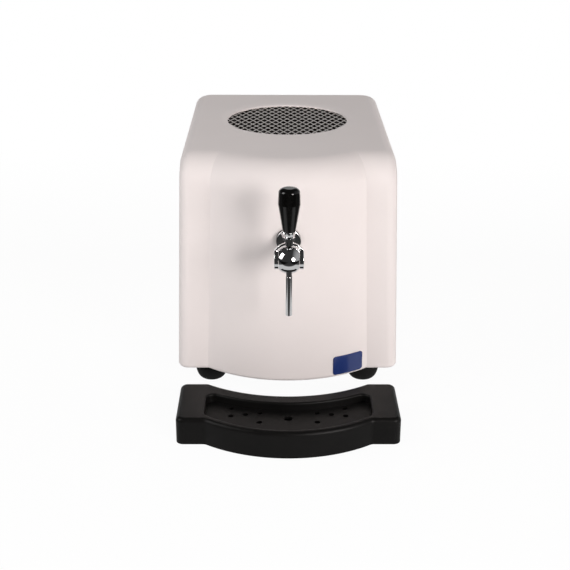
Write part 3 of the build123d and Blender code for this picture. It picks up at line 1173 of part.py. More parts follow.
NODES = {
    "outer_shell": outer_shell,
    "vent_grille": vent_grille,
    "base_plate": base_plate,
    "base_screws": base_screws,
    "foot_screws": foot_screws,
    "rear_panel": rear_panel,
    "panel_screws": panel_screws,
    "fan_shroud": fan_shroud,
    "shroud_screws": shroud_screws,
    "fan_bracket": fan_bracket,
    "fan_motor": fan_motor,
    "fan_blades": fan_blades,
    "tap_gasket": tap_gasket,
    "inner_gasket": inner_gasket,
    "shank": shank,
    "shank_nut": shank_nut,
    "tap_body": tap_body,
    "pivot_cap_left": lambda: pivot_cap(-1),
    "pivot_cap_right": lambda: pivot_cap(1),
    "lever_ring": lever_ring,
    "lever_pin": lever_pin,
    "lever_stem": lever_stem,
    "lock_nut": lock_nut,
    "ferrule": ferrule,
    "handle": handle,
    "plunger": plunger,
    "plunger_seal": plunger_seal,
    "spout_tube": spout_tube,
    "drip_tray": drip_tray,
    "thermostat_body": thermostat_body,
    "thermostat_knob": thermostat_knob,
    "switch_frame": switch_frame,
    "switch_rocker": switch_rocker,
    "mains_inlet": mains_inlet,
    "inlet_fitting": inlet_fitting,
    "foam_jacket": foam_jacket,
    "tank_liner": tank_liner,
    "tank_lid": tank_lid,
    "drink_coil": drink_coil,
    "evaporator_coil": evaporator_coil,
    "compressor": compressor,
    "compressor_mounts": compressor_mounts,
    "condenser": condenser,
    "filter_drier": filter_drier,
    "suction_line": suction_line,
    "discharge_line": discharge_line,
    "liquid_line": liquid_line,
    "inlet_hose": inlet_hose,
    "tap_hose": tap_hose,
}
for name, (x, y) in FEET.items():
    NODES["foot_" + name] = lambda x=x, y=y: foot(x, y)

for name, make in NODES.items():
    export_step(make(), f"parts/{name}.step")
print("sub-parts written:", len(NODES))
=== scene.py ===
# %% [markdown]
# A countertop dispenser, dressed for its picture
#
# The solid parts come from a packed engineering model. This lesson gives each of them a finish, adds the
# thin trim that is easier to shape by hand, and then sets the floor, the lamps and the camera. Everything
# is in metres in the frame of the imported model: +Z is up and -Y is the front, where the tap is.

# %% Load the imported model
import bpy
import json
import math
from mathutils import Matrix, Vector


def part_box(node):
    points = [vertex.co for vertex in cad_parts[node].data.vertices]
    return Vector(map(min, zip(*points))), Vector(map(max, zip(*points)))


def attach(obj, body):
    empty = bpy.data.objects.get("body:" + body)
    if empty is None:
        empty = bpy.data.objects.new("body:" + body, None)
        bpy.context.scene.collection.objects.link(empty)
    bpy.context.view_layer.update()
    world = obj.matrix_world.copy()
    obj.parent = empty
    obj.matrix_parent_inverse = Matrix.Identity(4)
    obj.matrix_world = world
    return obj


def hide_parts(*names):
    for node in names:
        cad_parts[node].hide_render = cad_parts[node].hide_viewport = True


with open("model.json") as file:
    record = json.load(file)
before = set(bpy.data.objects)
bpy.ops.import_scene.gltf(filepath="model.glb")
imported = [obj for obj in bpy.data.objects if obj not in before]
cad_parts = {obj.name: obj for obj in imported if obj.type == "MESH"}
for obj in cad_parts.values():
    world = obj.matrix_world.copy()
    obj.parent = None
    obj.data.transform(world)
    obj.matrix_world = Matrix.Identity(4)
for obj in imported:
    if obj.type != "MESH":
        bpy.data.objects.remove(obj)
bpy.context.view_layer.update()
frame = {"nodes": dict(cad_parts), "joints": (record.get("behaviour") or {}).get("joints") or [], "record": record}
nodes = frame["nodes"]

# %% [markdown]
# The camera
#
# The picture was taken with a long lens from a little above the machine, almost square to its front. A
# camera can be turned by three angles, or aimed at an empty by a constraint. Here it is set from three
# directions: where it looks, what is right and what is up. They are the columns of its matrix, so the
# order of the turns can't be mistaken, and a slight roll is easy to add.

# %% Camera
PICTURE_SIDE = 570
FOCAL_PIXELS = 1119.8
SENSOR = 36.0
CAMERA_PLACE = Vector((-0.01622, -1.58582, 0.77242))
LOOK_DOWN = math.radians(22.48)
LOOK_RIGHT = math.radians(0.47)
ROLL = math.radians(0.24)


def make_camera():
    ahead = Vector((math.sin(LOOK_RIGHT) * math.cos(LOOK_DOWN),
                    math.cos(LOOK_RIGHT) * math.cos(LOOK_DOWN),
                    -math.sin(LOOK_DOWN)))
    right = Vector((math.cos(LOOK_RIGHT), -math.sin(LOOK_RIGHT), 0))
    up = right.cross(ahead)
    turned = right * math.cos(ROLL) + up * math.sin(ROLL)
    upright = up * math.cos(ROLL) - right * math.sin(ROLL)
    data = bpy.data.cameras.new("camera")
    data.sensor_width = SENSOR
    data.lens = SENSOR * FOCAL_PIXELS / PICTURE_SIDE
    camera = bpy.data.objects.new("camera", data)
    bpy.context.scene.collection.objects.link(camera)
    turn = Matrix((turned, upright, -ahead)).transposed().to_4x4()
    camera.matrix_world = Matrix.Translation(CAMERA_PLACE) @ turn
    bpy.context.scene.camera = camera
    return camera


print("lens:", round(make_camera().data.lens, 1), "mm")

# %% [markdown]
# Writing shaders as sums
#
# A finish is a small sum: a base tone plus a mottle, a roughness plus some wear. Nodes can be added and
# linked one by one, but then the sum is hard to see. This class wraps one socket of a material, so that
# such sums are plain Python and each operator adds its Math node. Any other node comes from the one
# method `node`, which sets a node's own choices first and its sockets after that.


# %% The socket class
class Shade:
    def __init__(self, tree, socket=None):
        self.tree = tree
        self.socket = socket

    def node(self, kind, settings=None, sockets=None, out=0):
        made = self.tree.nodes.new("ShaderNode" + kind)
        for name, value in (settings or {}).items():
            if name == "stops":
                ramp = made.color_ramp.elements
                for index, (place, tone) in enumerate(value):
                    stop = ramp[index] if index < len(ramp) else ramp.new(place)
                    stop.position = place
                    stop.color = (tone, tone, tone, 1)
            else:
                setattr(made, name, value)
        for name, value in (sockets or {}).items():
            if isinstance(value, Shade):
                self.tree.links.new(value.socket, made.inputs[name])
            else:
                made.inputs[name].default_value = value
        return Shade(self.tree, made.outputs[out] if made.outputs else None)

    def sum(self, operation, first, second):
        return self.node("Math", {"operation": operation}, {0: first, 1: second})

    def __add__(self, other):
        return self.sum("ADD", self, other)

    def __radd__(self, other):
        return self.sum("ADD", other, self)

    def __sub__(self, other):
        return self.sum("SUBTRACT", self, other)

    def __rsub__(self, other):
        return self.sum("SUBTRACT", other, self)

    def __mul__(self, other):
        return self.sum("MULTIPLY", self, other)

    def __rmul__(self, other):
        return self.sum("MULTIPLY", other, self)

    def from_zero(self):
        """How far this value is from zero."""
        return self.node("Math", {"operation": "ABSOLUTE"}, {0: self})

    def axis(self, letter):
        """One part of a vector: X, Y or Z."""
        return self.node("SeparateXYZ", None, {0: self}, out=letter)

    def tint(self, low, high):
        """A colour that goes from low to high as this value goes from 0 to 1."""
        ends = [end if isinstance(end, Shade) else (*end, 1) for end in (low, high)]
        # A Mix node has its two colours at inputs 6 and 7, and the mixed colour at output 2.
        return self.node("Mix", {"data_type": "RGBA"}, {0: self, 6: ends[0], 7: ends[1]}, out=2)

    def ramp(self, *stops):
        return self.node("ValToRGB", {"stops": stops}, {"Fac": self})

    def edge(self, places, before, after):
        """Goes from one tone to another while this value passes between two places."""
        return self.ramp((places[0], before), (places[1], after))


# %% [markdown]
# Patterns in real sizes
#
# Real surfaces vary a little all over, and a pattern looks right only at its real size. It could be laid
# on through a map of each part, but fifty parts would need fifty maps. Object coordinates are metres
# here, so a noise with a scale of 1000 has grains of about a millimetre on every part. These helpers
# start a material, give the noise, the cells and the relief that the finishes below share, and bring a
# value to the shader.


# %% Pattern helpers
GRAIN_ROUGHNESS = 0.55


def start_material(name):
    material = bpy.data.materials.new(name)
    material.use_nodes = True
    tree = material.node_tree
    shader = next(n for n in tree.nodes if n.type == "BSDF_PRINCIPLED")
    place = Shade(tree).node("TexCoord", out="Object")
    return material, shader, place


def grains(place, per_metre, detail):
    return place.node("TexNoise", None, {"Vector": place, "Scale": per_metre, "Detail": detail,
                                         "Roughness": GRAIN_ROUGHNESS})


def cells(place, per_metre):
    return place.node("TexVoronoi", None, {"Vector": place, "Scale": per_metre})


def relief(height, distance, strength):
    return height.node("Bump", None, {"Height": height, "Distance": distance, "Strength": strength})


def feed(shader, name, value):
    """Links a value that changes over the surface, or sets one that is the same all over."""
    if isinstance(value, Shade):
        value.tree.links.new(value.socket, shader.inputs[name])
    else:
        shader.inputs[name].default_value = value


# %% [markdown]
# The casing's plastic
#
# The casing is one warm white moulding. Real mouldings of this size have a fine spark-eroded grain, a
# slight waviness where the wall cooled, and a little unevenness of tone. One flat colour would look like
# paper, so three noises are laid over each other. The grain is about half a millimetre wide and only
# microns deep, so it softens the gloss more than it shows.

# %% Casing finish
CASING_LIGHT = (0.86, 0.80, 0.79)
CASING_DARK = (0.83, 0.77, 0.76)


def casing_finish():
    material, shader, place = start_material("casing_white")
    mottle = grains(place, per_metre=14.0, detail=4.0)
    grain = grains(place, per_metre=1700.0, detail=2.0)
    wave = grains(place, per_metre=9.0, detail=1.0)
    feed(shader, "Base Color", mottle.tint(CASING_DARK, CASING_LIGHT))
    feed(shader, "Roughness", 0.46 + 0.12 * grain + 0.06 * mottle)
    feed(shader, "Normal", relief(grain * 0.02 + wave, distance=0.0009, strength=0.5))
    feed(shader, "Specular IOR Level", 0.2)
    return material


finishes = {"casing_plastic": casing_finish()}
print("casing:", finishes["casing_plastic"].name)

# %% [markdown]
# Chrome
#
# The tap is chrome plate. It could be a perfect mirror, but fingers leave a faint haze on the real one. So
# the roughness stays low and wanders a little, in patches of one or two centimetres. The rest of its look
# is what it mirrors, and that is set with the floor, the room and the lamps further down.

# %% Chrome finish
CHROME_LIGHT = (0.86, 0.86, 0.865)
CHROME_DARK = (0.76, 0.76, 0.775)


def chrome_finish():
    material, shader, place = start_material("chrome_plate")
    haze = grains(place, per_metre=60.0, detail=4.0)
    feed(shader, "Base Color", haze.tint(CHROME_DARK, CHROME_LIGHT))
    feed(shader, "Roughness", 0.02 + 0.05 * haze)
    feed(shader, "Metallic", 1.0)
    return material


finishes["chrome"] = chrome_finish()
print("tap:", finishes["chrome"].name)

# %% [markdown]
# Zinc on sheet, screws and mesh
#
# The rear panel, the base and the screws are galvanised: the zinc has dull and bright crystals, which
# Voronoi cells give, and fine scuffs over them. The vent's mesh has the same zinc, but its gaps get a
# painted shade: the cut walls of the gaps are painted near black in a brownish tone. It could be painted
# on by hand, gap by gap. The surface's own direction picks the walls out at once: where a face looks up
# it keeps the zinc, and where it looks sideways it takes the painted shade.

# %% Zinc finishes
MESH_LIGHT = (0.94, 0.88, 0.845)
MESH_DARK = (0.62, 0.585, 0.56)
# Painted shade: the near-black, brownish colour painted on the walls of the mesh's gaps.
PAINTED_GAP_SHADE = (0.09, 0.04, 0.022)
UNSHADED_WHERE_LEVEL = (0.35, 0.75)


def zinc_scuffs(shader, place, roughness):
    scuffs = grains(place, per_metre=350.0, detail=5.0)
    feed(shader, "Roughness", roughness + 0.18 * scuffs)
    feed(shader, "Normal", relief(scuffs, distance=0.0002, strength=0.3))
    feed(shader, "Metallic", 1.0)
    return scuffs


def zinc_finish(name, low, high, roughness, per_metre):
    material, shader, place = start_material(name)
    scuffs = zinc_scuffs(shader, place, roughness)
    crystals = cells(place, per_metre)
    feed(shader, "Base Color", (crystals * 0.7 + scuffs * 0.3).tint(low, high))
    return material


def mesh_finish():
    material, shader, place = start_material("galvanised_mesh")
    scuffs = zinc_scuffs(shader, place, roughness=0.32)
    crystals = cells(place, per_metre=260.0)
    bright = (crystals * 0.5 + scuffs * 0.5).tint(MESH_DARK, MESH_LIGHT)
    # Painted shade: faces that look sideways, the walls of the gaps, are coloured dark instead of zinc.
    level = place.node("NewGeometry", out="True Normal").axis("Z")
    unshaded = level.edge(UNSHADED_WHERE_LEVEL, 0.0, 1.0)
    feed(shader, "Base Color", unshaded.tint(PAINTED_GAP_SHADE, bright))
    return material


zincs = {
    "mesh_steel": mesh_finish(),
    "sheet_steel": zinc_finish("zinc_sheet", (0.45, 0.455, 0.46), (0.62, 0.62, 0.62),
                               roughness=0.38, per_metre=90.0),
    "screw_zinc": zinc_finish("screw_zinc", (0.5, 0.5, 0.47), (0.68, 0.68, 0.65),
                              roughness=0.25, per_metre=900.0),
}
finishes.update(zincs)
print("zinc finishes:", list(zincs))

# %% [markdown]
# Drawn and turned metals
#
# Pipes, fittings and fins are bare metal that has been handled: a slight stain over a few centimetres,
# and the fine marks of drawing or turning. Each metal could have its own shader. They differ only in
# colour and polish, so one function serves all four.


# %% Bare metal finishes
def drawn_metal(name, low, high, roughness):
    material, shader, place = start_material(name)
    stain = grains(place, per_metre=45.0, detail=5.0)
    lines = grains(place, per_metre=900.0, detail=2.0)
    feed(shader, "Base Color", stain.tint(low, high))
    feed(shader, "Roughness", roughness + 0.2 * stain)
    feed(shader, "Normal", relief(lines, distance=0.0001, strength=0.3))
    feed(shader, "Metallic", 1.0)
    return material


bare_metals = {
    "brass": drawn_metal("turned_brass", (0.55, 0.38, 0.15), (0.72, 0.54, 0.26), roughness=0.18),
    "stainless": drawn_metal("stainless_tube", (0.5, 0.5, 0.5), (0.66, 0.66, 0.66), roughness=0.2),
    "copper": drawn_metal("copper_tube", (0.5, 0.22, 0.12), (0.72, 0.38, 0.24), roughness=0.22),
    "fins": drawn_metal("fin_aluminium", (0.6, 0.61, 0.62), (0.76, 0.77, 0.78), roughness=0.3),
}
finishes.update(bare_metals)
print("bare metals:", list(bare_metals))

# %% [markdown]
# Polished and grained blacks
#
# Three blacks are seen from the front. The handle is a polished moulding with a hard gloss, the tray has
# a fine leather-like grain and a satin sheen along its edges, and the feet are dull rubber with a grey
# bloom. A black is known by its highlights, so these finishes differ in roughness and grain and hardly at
# all in colour.

# %% Black finishes
GLOSS_LIGHT = (0.0045, 0.0043, 0.004)
GLOSS_DARK = (0.002, 0.002, 0.002)


def gloss_black(name):
    material, shader, place = start_material(name)
    rub = grains(place, per_metre=240.0, detail=5.0)
    feed(shader, "Base Color", rub.tint(GLOSS_DARK, GLOSS_LIGHT))
    feed(shader, "Roughness", 0.03 + 0.04 * rub)
    feed(shader, "Specular IOR Level", 0.45)
    return material


def grained_black(name, low, high, roughness, per_metre):
    material, shader, place = start_material(name)
    leather = cells(place, per_metre)
    dust = grains(place, per_metre=25.0, detail=6.0)
    feed(shader, "Base Color", dust.tint(low, high))
    feed(shader, "Roughness", roughness + 0.12 * dust + 0.06 * leather)
    feed(shader, "Normal", relief(leather, distance=0.00025, strength=0.35))
    feed(shader, "Specular IOR Level", 0.13)
    return material


blacks = {
    "handle_black": gloss_black("handle_gloss"),
    "rocker_black": gloss_black("rocker_gloss"),
    "tray_black": grained_black("tray_grain", (0.0035, 0.0033, 0.0032), (0.0075, 0.0071, 0.0068),
                                roughness=0.28, per_metre=1500.0),
    "rubber": grained_black("foot_rubber", (0.004, 0.004, 0.004), (0.010, 0.010, 0.010),
                            roughness=0.55, per_metre=900.0),
}
finishes.update(blacks)
print("blacks:", list(blacks))

# %% [markdown]
# Plain mouldings, enamel and foam
#
# The fan, the controls, the foam jacket and the hoses are plain plastics, and the compressor is
# enamelled. None of them has a pattern of its own, so a cloud in the tone and fine pores are enough. As
# with the metals, one function takes two tones and a roughness.


# %% Plain finishes
def plain_moulding(name, low, high, roughness):
    material, shader, place = start_material(name)
    cloud = grains(place, per_metre=30.0, detail=4.0)
    pores = grains(place, per_metre=700.0, detail=3.0)
    feed(shader, "Base Color", cloud.tint(low, high))
    feed(shader, "Roughness", roughness + 0.1 * pores)
    feed(shader, "Normal", relief(pores, distance=0.0002, strength=0.3))
    return material


plain = {
    "fan_plastic": plain_moulding("fan_black", (0.012, 0.0095, 0.008), (0.024, 0.019, 0.0165),
                                  roughness=0.5),
    "motor_paint": plain_moulding("black_enamel", (0.010, 0.010, 0.011), (0.022, 0.022, 0.022),
                                  roughness=0.25),
    "control_black": plain_moulding("control_black", (0.014, 0.014, 0.015), (0.03, 0.03, 0.031),
                                    roughness=0.42),
    "foam": plain_moulding("cream_foam", (0.62, 0.56, 0.4), (0.74, 0.69, 0.53), roughness=0.8),
    "liner": plain_moulding("liner_white", (0.72, 0.73, 0.74), (0.8, 0.8, 0.8), roughness=0.3),
    "hose": plain_moulding("food_hose", (0.6, 0.62, 0.63), (0.7, 0.72, 0.72), roughness=0.35),
}
finishes.update(plain)
print("plain finishes:", list(plain))

# %% [markdown]
# One finish for each slot
#
# A finish could be given to each part by name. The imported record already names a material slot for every
# part, so the table from slot to finish dresses all of them in one loop, and parts that share a slot
# share a finish.

# %% Dress every part
for part in frame["record"]["subparts"]:
    mesh = nodes[part["node"]].data
    mesh.materials.clear()
    mesh.materials.append(finishes[part["material_slot"]])

# %% [markdown]
# Working on one piece at a time
#
# Blender's operators act on whatever is selected, so a piece is singled out before each of them. Its
# place, turn and scale are put into its mesh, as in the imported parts, so that a pattern in metres lies
# right on it. Modifiers are applied as soon as they are set. Smooth shading keeps edges that are sharper
# than an angle.

# %% Piece helpers
SMOOTH_ANGLE = math.radians(40)


def only(thing):
    bpy.ops.object.select_all(action="DESELECT")
    thing.select_set(True)
    bpy.context.view_layer.objects.active = thing


def keep_place(thing):
    """Puts an object's place, turn and scale into its mesh."""
    only(thing)
    bpy.ops.object.transform_apply(location=True, rotation=True, scale=True)


def use_modifier(thing, kind, **settings):
    only(thing)
    modifier = thing.modifiers.new(kind.lower(), kind)
    for name, value in settings.items():
        setattr(modifier, name, value)
    bpy.ops.object.modifier_apply(modifier=modifier.name)


def smooth(thing):
    only(thing)
    bpy.ops.object.shade_smooth_by_angle(angle=SMOOTH_ANGLE)


# %% [markdown]
# Thin plates
#
# Small plates and printed marks lie on parts that are often curved. They could be cut out of a copy of
# the part below, but its triangles would show in their outline. Instead a flat sheet with rounded corners
# starts in front of the part, is wrapped straight onto it by a Shrinkwrap modifier, and gets its
# thickness from Solidify. On a curve it is first cut into strips both ways, so that it can bend.

# %% Thin plate helper
FRONT = -1
BACK = 1
CORNER_STEPS = 6


def thin_plate(name, place, size, corner, thickness, facing, target, cuts=0):
    bpy.ops.object.select_all(action="DESELECT")
    bpy.ops.mesh.primitive_plane_add(size=1, location=place, rotation=(math.radians(-90 * facing), 0, 0))
    plate = bpy.context.object
    plate.name = name
    plate.scale = (size[0], size[1], 1)
    keep_place(plate)
    bpy.ops.object.mode_set(mode="EDIT")
    bpy.ops.mesh.select_mode(type="VERT")
    bpy.ops.mesh.select_all(action="SELECT")
    bpy.ops.mesh.bevel(offset=corner, segments=CORNER_STEPS, affect="VERTICES")
    for step in range(1, cuts + 1):
        share = step / (cuts + 1) - 0.5
        across = Vector((share * size[0], 0, 0))
        upward = Vector((0, 0, share * size[1]))
        for shift, normal in ((across, (1, 0, 0)), (upward, (0, 0, 1))):
            bpy.ops.mesh.select_all(action="SELECT")
            bpy.ops.mesh.bisect(plane_co=Vector(place) + shift, plane_no=normal)
    bpy.ops.object.mode_set(mode="OBJECT")
    use_modifier(plate, "SHRINKWRAP", target=nodes[target], wrap_method="PROJECT", use_project_y=True,
                 use_project_x=False, use_project_z=False, use_negative_direction=facing == BACK,
                 use_positive_direction=facing == FRONT, offset=0.0)
    use_modifier(plate, "SOLIDIFY", thickness=thickness, offset=1.0)
    use_modifier(plate, "BEVEL", width=thickness / 3, segments=3, limit_method="ANGLE")
    smooth(plate)
    return plate


# %% [markdown]
# A plain plate on the bow
#
# Low on the right of the bow sits a small blue plate, a thin glossy moulding that follows the curve
# behind it. It is too thin to matter in the solids, so it is made here, as a plate that is wrapped onto
# the casing.

# %% Bow plate
PLATE_PLACE = (0.0862, -0.20, 0.0515)
PLATE_SIZE = (0.043, 0.0285)
BLUE_LIGHT = (0.018, 0.04, 0.18)
BLUE_DARK = (0.012, 0.028, 0.13)


def plate_finish():
    material, shader, place = start_material("plate_blue")
    fade = grains(place, per_metre=60.0, detail=4.0)
    feed(shader, "Base Color", fade.tint(BLUE_DARK, BLUE_LIGHT))
    feed(shader, "Roughness", 0.16 + 0.12 * fade)
    feed(shader, "Coat Weight", 0.3)
    return material


plate = thin_plate("bow_plate", PLATE_PLACE, PLATE_SIZE, corner=0.004, thickness=0.0012, facing=FRONT,
                   target="outer_shell", cuts=9)
plate.data.materials.append(plate_finish())
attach(plate, "cabinet")
print("bow plate faces:", len(plate.data.polygons))

# %% [markdown]
# Turned rings
#
# Round pieces of the tap come off a lathe: a bar is bored through and its outside is cut in steps and
# cones. A Screw modifier on an outline would give the same shape. Here a circle is drawn out step by
# step, each step an extrusion and a change of size, because it reads like the turner's own list of
# diameters. It starts at the bore, goes over the outside and comes back through the bore. Where it meets
# its start, the doubled points are merged, so the wall is closed.

# %% Turned ring helper
MERGE_GAP = 0.00001
EDGE_EASE = 0.0007


def turned_ring(name, steps, sides, axis_point, along):
    """A ring round an axis; each step gives a radius and how far along the axis it lies."""
    radius, reach = steps[0]
    turn = along.rotation_difference(Vector((0, 0, 1))).to_euler()
    bpy.ops.object.select_all(action="DESELECT")
    bpy.ops.mesh.primitive_circle_add(vertices=sides, radius=radius, location=axis_point + along * reach,
                                      rotation=turn)
    ring = bpy.context.object
    ring.name = name
    keep_place(ring)
    bpy.ops.object.mode_set(mode="EDIT")
    bpy.ops.mesh.select_all(action="SELECT")
    for next_radius, next_reach in steps[1:]:
        bpy.ops.mesh.extrude_edges_move(TRANSFORM_OT_translate={"value": along * (next_reach - reach)})
        grow = next_radius / radius
        growth = Vector((grow, grow, grow)) + along * (1 - grow)
        bpy.ops.transform.resize(value=growth, center_override=axis_point + along * next_reach)
        radius, reach = next_radius, next_reach
    bpy.ops.mesh.select_all(action="SELECT")
    bpy.ops.mesh.remove_doubles(threshold=MERGE_GAP)
    bpy.ops.mesh.normals_make_consistent(inside=False)
    bpy.ops.object.mode_set(mode="OBJECT")
    use_modifier(ring, "BEVEL", width=EDGE_EASE, segments=3, limit_method="ANGLE")
    smooth(ring)
    return ring


# %% [markdown]
# The neck of the tap
#
# Behind its ball the tap narrows to a cone that stands on a thin round flange at the wall. Its tail goes
# through the wall, and a short spigot with a wider chamber goes into the ball. The solid part has a
# stouter collar in this place, so the neck replaces it. Its axis lies at the height of the lever's joint.

# %% Tap neck
joint_places = {joint["name"]: Vector(joint["pos_m"]) for joint in frame["joints"] if joint.get("pos_m")}
LEVER_AXIS = joint_places["lever_pivot"]
BORE = 0.0040
SHANK_RADIUS = 0.0080
FLANGE_RADIUS = 0.0170
WAIST_RADIUS = 0.0072
CONE_FOOT_RADIUS = 0.0076
CONE_HEAD_RADIUS = 0.0128
SPIGOT_RADIUS = 0.0090
CHAMBER_RADIUS = 0.0070
TAIL = -0.11724
FLANGE_BACK = -0.15425
FLANGE_FRONT = -0.15860
CONE_FOOT = -0.16200
CHAMBER_END = -0.19724
CONE_HEAD = -0.20024
SPIGOT_END = -0.20824
NECK_STEPS = (
    (BORE, TAIL), (SHANK_RADIUS, TAIL), (SHANK_RADIUS, FLANGE_BACK), (FLANGE_RADIUS, FLANGE_BACK),
    (FLANGE_RADIUS, FLANGE_FRONT), (WAIST_RADIUS, FLANGE_FRONT), (CONE_FOOT_RADIUS, CONE_FOOT),
    (CONE_HEAD_RADIUS, CONE_HEAD), (SPIGOT_RADIUS, CONE_HEAD), (SPIGOT_RADIUS, SPIGOT_END),
    (CHAMBER_RADIUS, SPIGOT_END), (CHAMBER_RADIUS, CHAMBER_END), (BORE, CHAMBER_END), (BORE, TAIL),
)

neck = turned_ring("tap_neck", NECK_STEPS, sides=72, axis_point=Vector((0, 0, LEVER_AXIS.z)),
                   along=Vector((0, 1, 0)))
neck.data.materials.append(finishes["chrome"])
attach(neck, "cabinet")
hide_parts("shank")
print("neck faces:", len(neck.data.polygons))

# %% [markdown]
# The collar under the handle
#
# Between the lock nut and the black handle sits a small bright collar that narrows downwards. The solid
# part is a plain sleeve, so the collar replaces it, between the same two heights. It is turned in the
# same way as the neck, but about the upright axis of the lever's stem, and it moves with the lever.

# %% Grip collar
COLLAR_BORE = 0.0040
COLLAR_FOOT_RADIUS = 0.0054
COLLAR_HEAD_RADIUS = 0.0069
sleeve_low, sleeve_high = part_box("ferrule")
COLLAR_FOOT = sleeve_low[2]
COLLAR_HEAD = sleeve_high[2]
COLLAR_STEPS = (
    (COLLAR_BORE, COLLAR_FOOT), (COLLAR_FOOT_RADIUS, COLLAR_FOOT), (COLLAR_HEAD_RADIUS, COLLAR_HEAD),
    (COLLAR_BORE, COLLAR_HEAD), (COLLAR_BORE, COLLAR_FOOT),
)

collar = turned_ring("grip_collar", COLLAR_STEPS, sides=48, axis_point=Vector((0, LEVER_AXIS.y, 0)),
                     along=Vector((0, 0, 1)))
collar.data.materials.append(finishes["chrome"])
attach(collar, "lever")
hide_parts("ferrule")
print("collar faces:", len(collar.data.polygons))

# %% [markdown]
# Copies
#
# Hoods, scale marks, contacts and rings repeat. Array modifiers would do for straight rows, and would
# need an empty as a guide for a turn about a knob. A matrix does for both: one of each is modelled,
# copied with a mesh of its own and moved by a matrix, and all are joined into one piece.


# %% Copy helpers
def copy_of(thing, move):
    only(thing)
    bpy.ops.object.duplicate(linked=False)
    twin = bpy.context.object
    twin.matrix_world = move
    keep_place(twin)
    return twin


def shifted_copies(thing, shifts):
    return [thing] + [copy_of(thing, Matrix.Translation(shift)) for shift in shifts]


def joined(name, pieces):
    only(pieces[0])
    for piece in pieces[1:]:
        piece.select_set(True)
    bpy.ops.object.join()
    whole = bpy.context.object
    whole.name = name
    return whole


# %% [markdown]
# Hoods over the rear slots
#
# Slots pressed in sheet metal have a lip that is pushed out over them, so that nothing falls in. A hood
# could be bent from a strip. A ball is closer to the rounded form of a press tool: its two halves are
# pulled apart into a capsule, two cuts leave the quarter that stands over the slot, and Solidify gives it
# the thickness of the sheet. The other seventeen are copies.

# %% Rear hoods
PANEL_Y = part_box("rear_panel")[1][1]
HOOD_RADIUS = 0.0062
HOOD_PULL = 0.0265
HOOD_DROP = 0.0026
HOOD_SHEET = 0.0008
HOOD_COLUMNS = (-0.060, 0.012)
HOOD_TOP = 0.271
HOOD_PITCH = 0.014
HOODS_IN_COLUMN = 9
HOOD_ROWS = [HOOD_TOP - HOOD_PITCH * row for row in range(HOODS_IN_COLUMN)]
MIDDLE_GAP = 0.0001


def first_hood(x, z):
    middle = (x, PANEL_Y, z - HOOD_DROP)
    bpy.ops.object.select_all(action="DESELECT")
    bpy.ops.mesh.primitive_uv_sphere_add(segments=24, ring_count=12, radius=HOOD_RADIUS, location=middle)
    hood = bpy.context.object
    keep_place(hood)
    for side in (-1, 1):
        bpy.ops.object.mode_set(mode="EDIT")
        bpy.ops.mesh.select_all(action="DESELECT")
        bpy.ops.object.mode_set(mode="OBJECT")
        for vertex in hood.data.vertices:
            vertex.select = (vertex.co.x - x) * side > MIDDLE_GAP
        bpy.ops.object.mode_set(mode="EDIT")
        bpy.ops.transform.translate(value=(side * HOOD_PULL, 0, 0))
    for normal in ((0, 1, 0), (0, 0, 1)):
        bpy.ops.mesh.select_all(action="SELECT")
        bpy.ops.mesh.bisect(plane_co=middle, plane_no=normal, clear_inner=True)
    bpy.ops.object.mode_set(mode="OBJECT")
    use_modifier(hood, "SOLIDIFY", thickness=HOOD_SHEET, offset=-1.0)
    smooth(hood)
    return hood


pattern = first_hood(HOOD_COLUMNS[0], HOOD_ROWS[0])
shifts = [(x - HOOD_COLUMNS[0], 0, z - HOOD_ROWS[0]) for x in HOOD_COLUMNS for z in HOOD_ROWS]
hoods = joined("rear_hoods", shifted_copies(pattern, shifts[1:]))
hoods.data.materials.append(finishes["sheet_steel"])
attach(hoods, "cabinet")
print("hoods:", len(shifts), "faces:", len(hoods.data.polygons))

# %% [markdown]
# Marks on the knob and the switch
#
# The thermostat's knob needs a pointer, and the switch has a plain bar on its upper end. They are printed
# or pressed marks. A texture could show them, but then they would have no shape in the exported model, so
# each is a very thin plate that is wrapped onto the part below it and moves with it.

# %% Pointer and bar
MARK_THICKNESS = 0.0003
MARK_CORNER = 0.0005
KNOB_AXIS = Vector((joint_places["knob_turn"].x, PANEL_Y, joint_places["knob_turn"].z))
BEHIND_KNOB = 0.03
POINTER_RISE = 0.009
POINTER_SIZE = (0.0016, 0.010)
ROCKER_AXIS = joint_places["rocker_tilt"]
BAR_START_Y = 0.31
BAR_RISE = 0.0085
BAR_SIZE = (0.0085, 0.0016)


def mark_finish(name, low, high):
    material, shader, place = start_material(name)
    wear = grains(place, per_metre=900.0, detail=4.0)
    feed(shader, "Base Color", wear.tint(low, high))
    feed(shader, "Roughness", 0.4 + 0.2 * wear)
    return material


white_mark = mark_finish("mark_white", (0.62, 0.61, 0.59), (0.8, 0.8, 0.78))

pointer = thin_plate("knob_pointer", KNOB_AXIS + Vector((0, BEHIND_KNOB, POINTER_RISE)), POINTER_SIZE,
                     MARK_CORNER, MARK_THICKNESS, facing=BACK, target="thermostat_knob")
pointer.data.materials.append(white_mark)
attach(pointer, "knob")

bar = thin_plate("rocker_bar", (ROCKER_AXIS.x, BAR_START_Y, ROCKER_AXIS.z + BAR_RISE), BAR_SIZE,
                 MARK_CORNER, MARK_THICKNESS, facing=BACK, target="switch_rocker", cuts=3)
bar.data.materials.append(white_mark)
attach(bar, "rocker")
print("pointer faces:", len(pointer.data.polygons), "bar faces:", len(bar.data.polygons))

# %% [markdown]
# The scale round the knob
#
# Eleven short marks stand on the panel round the knob, over the three quarters of a turn that it has. Spin
# could repeat one of them in edit mode. Here the first is a thin plate straight above the knob, and the
# others are copies that are turned about its axis, because the helper for copies is already there.

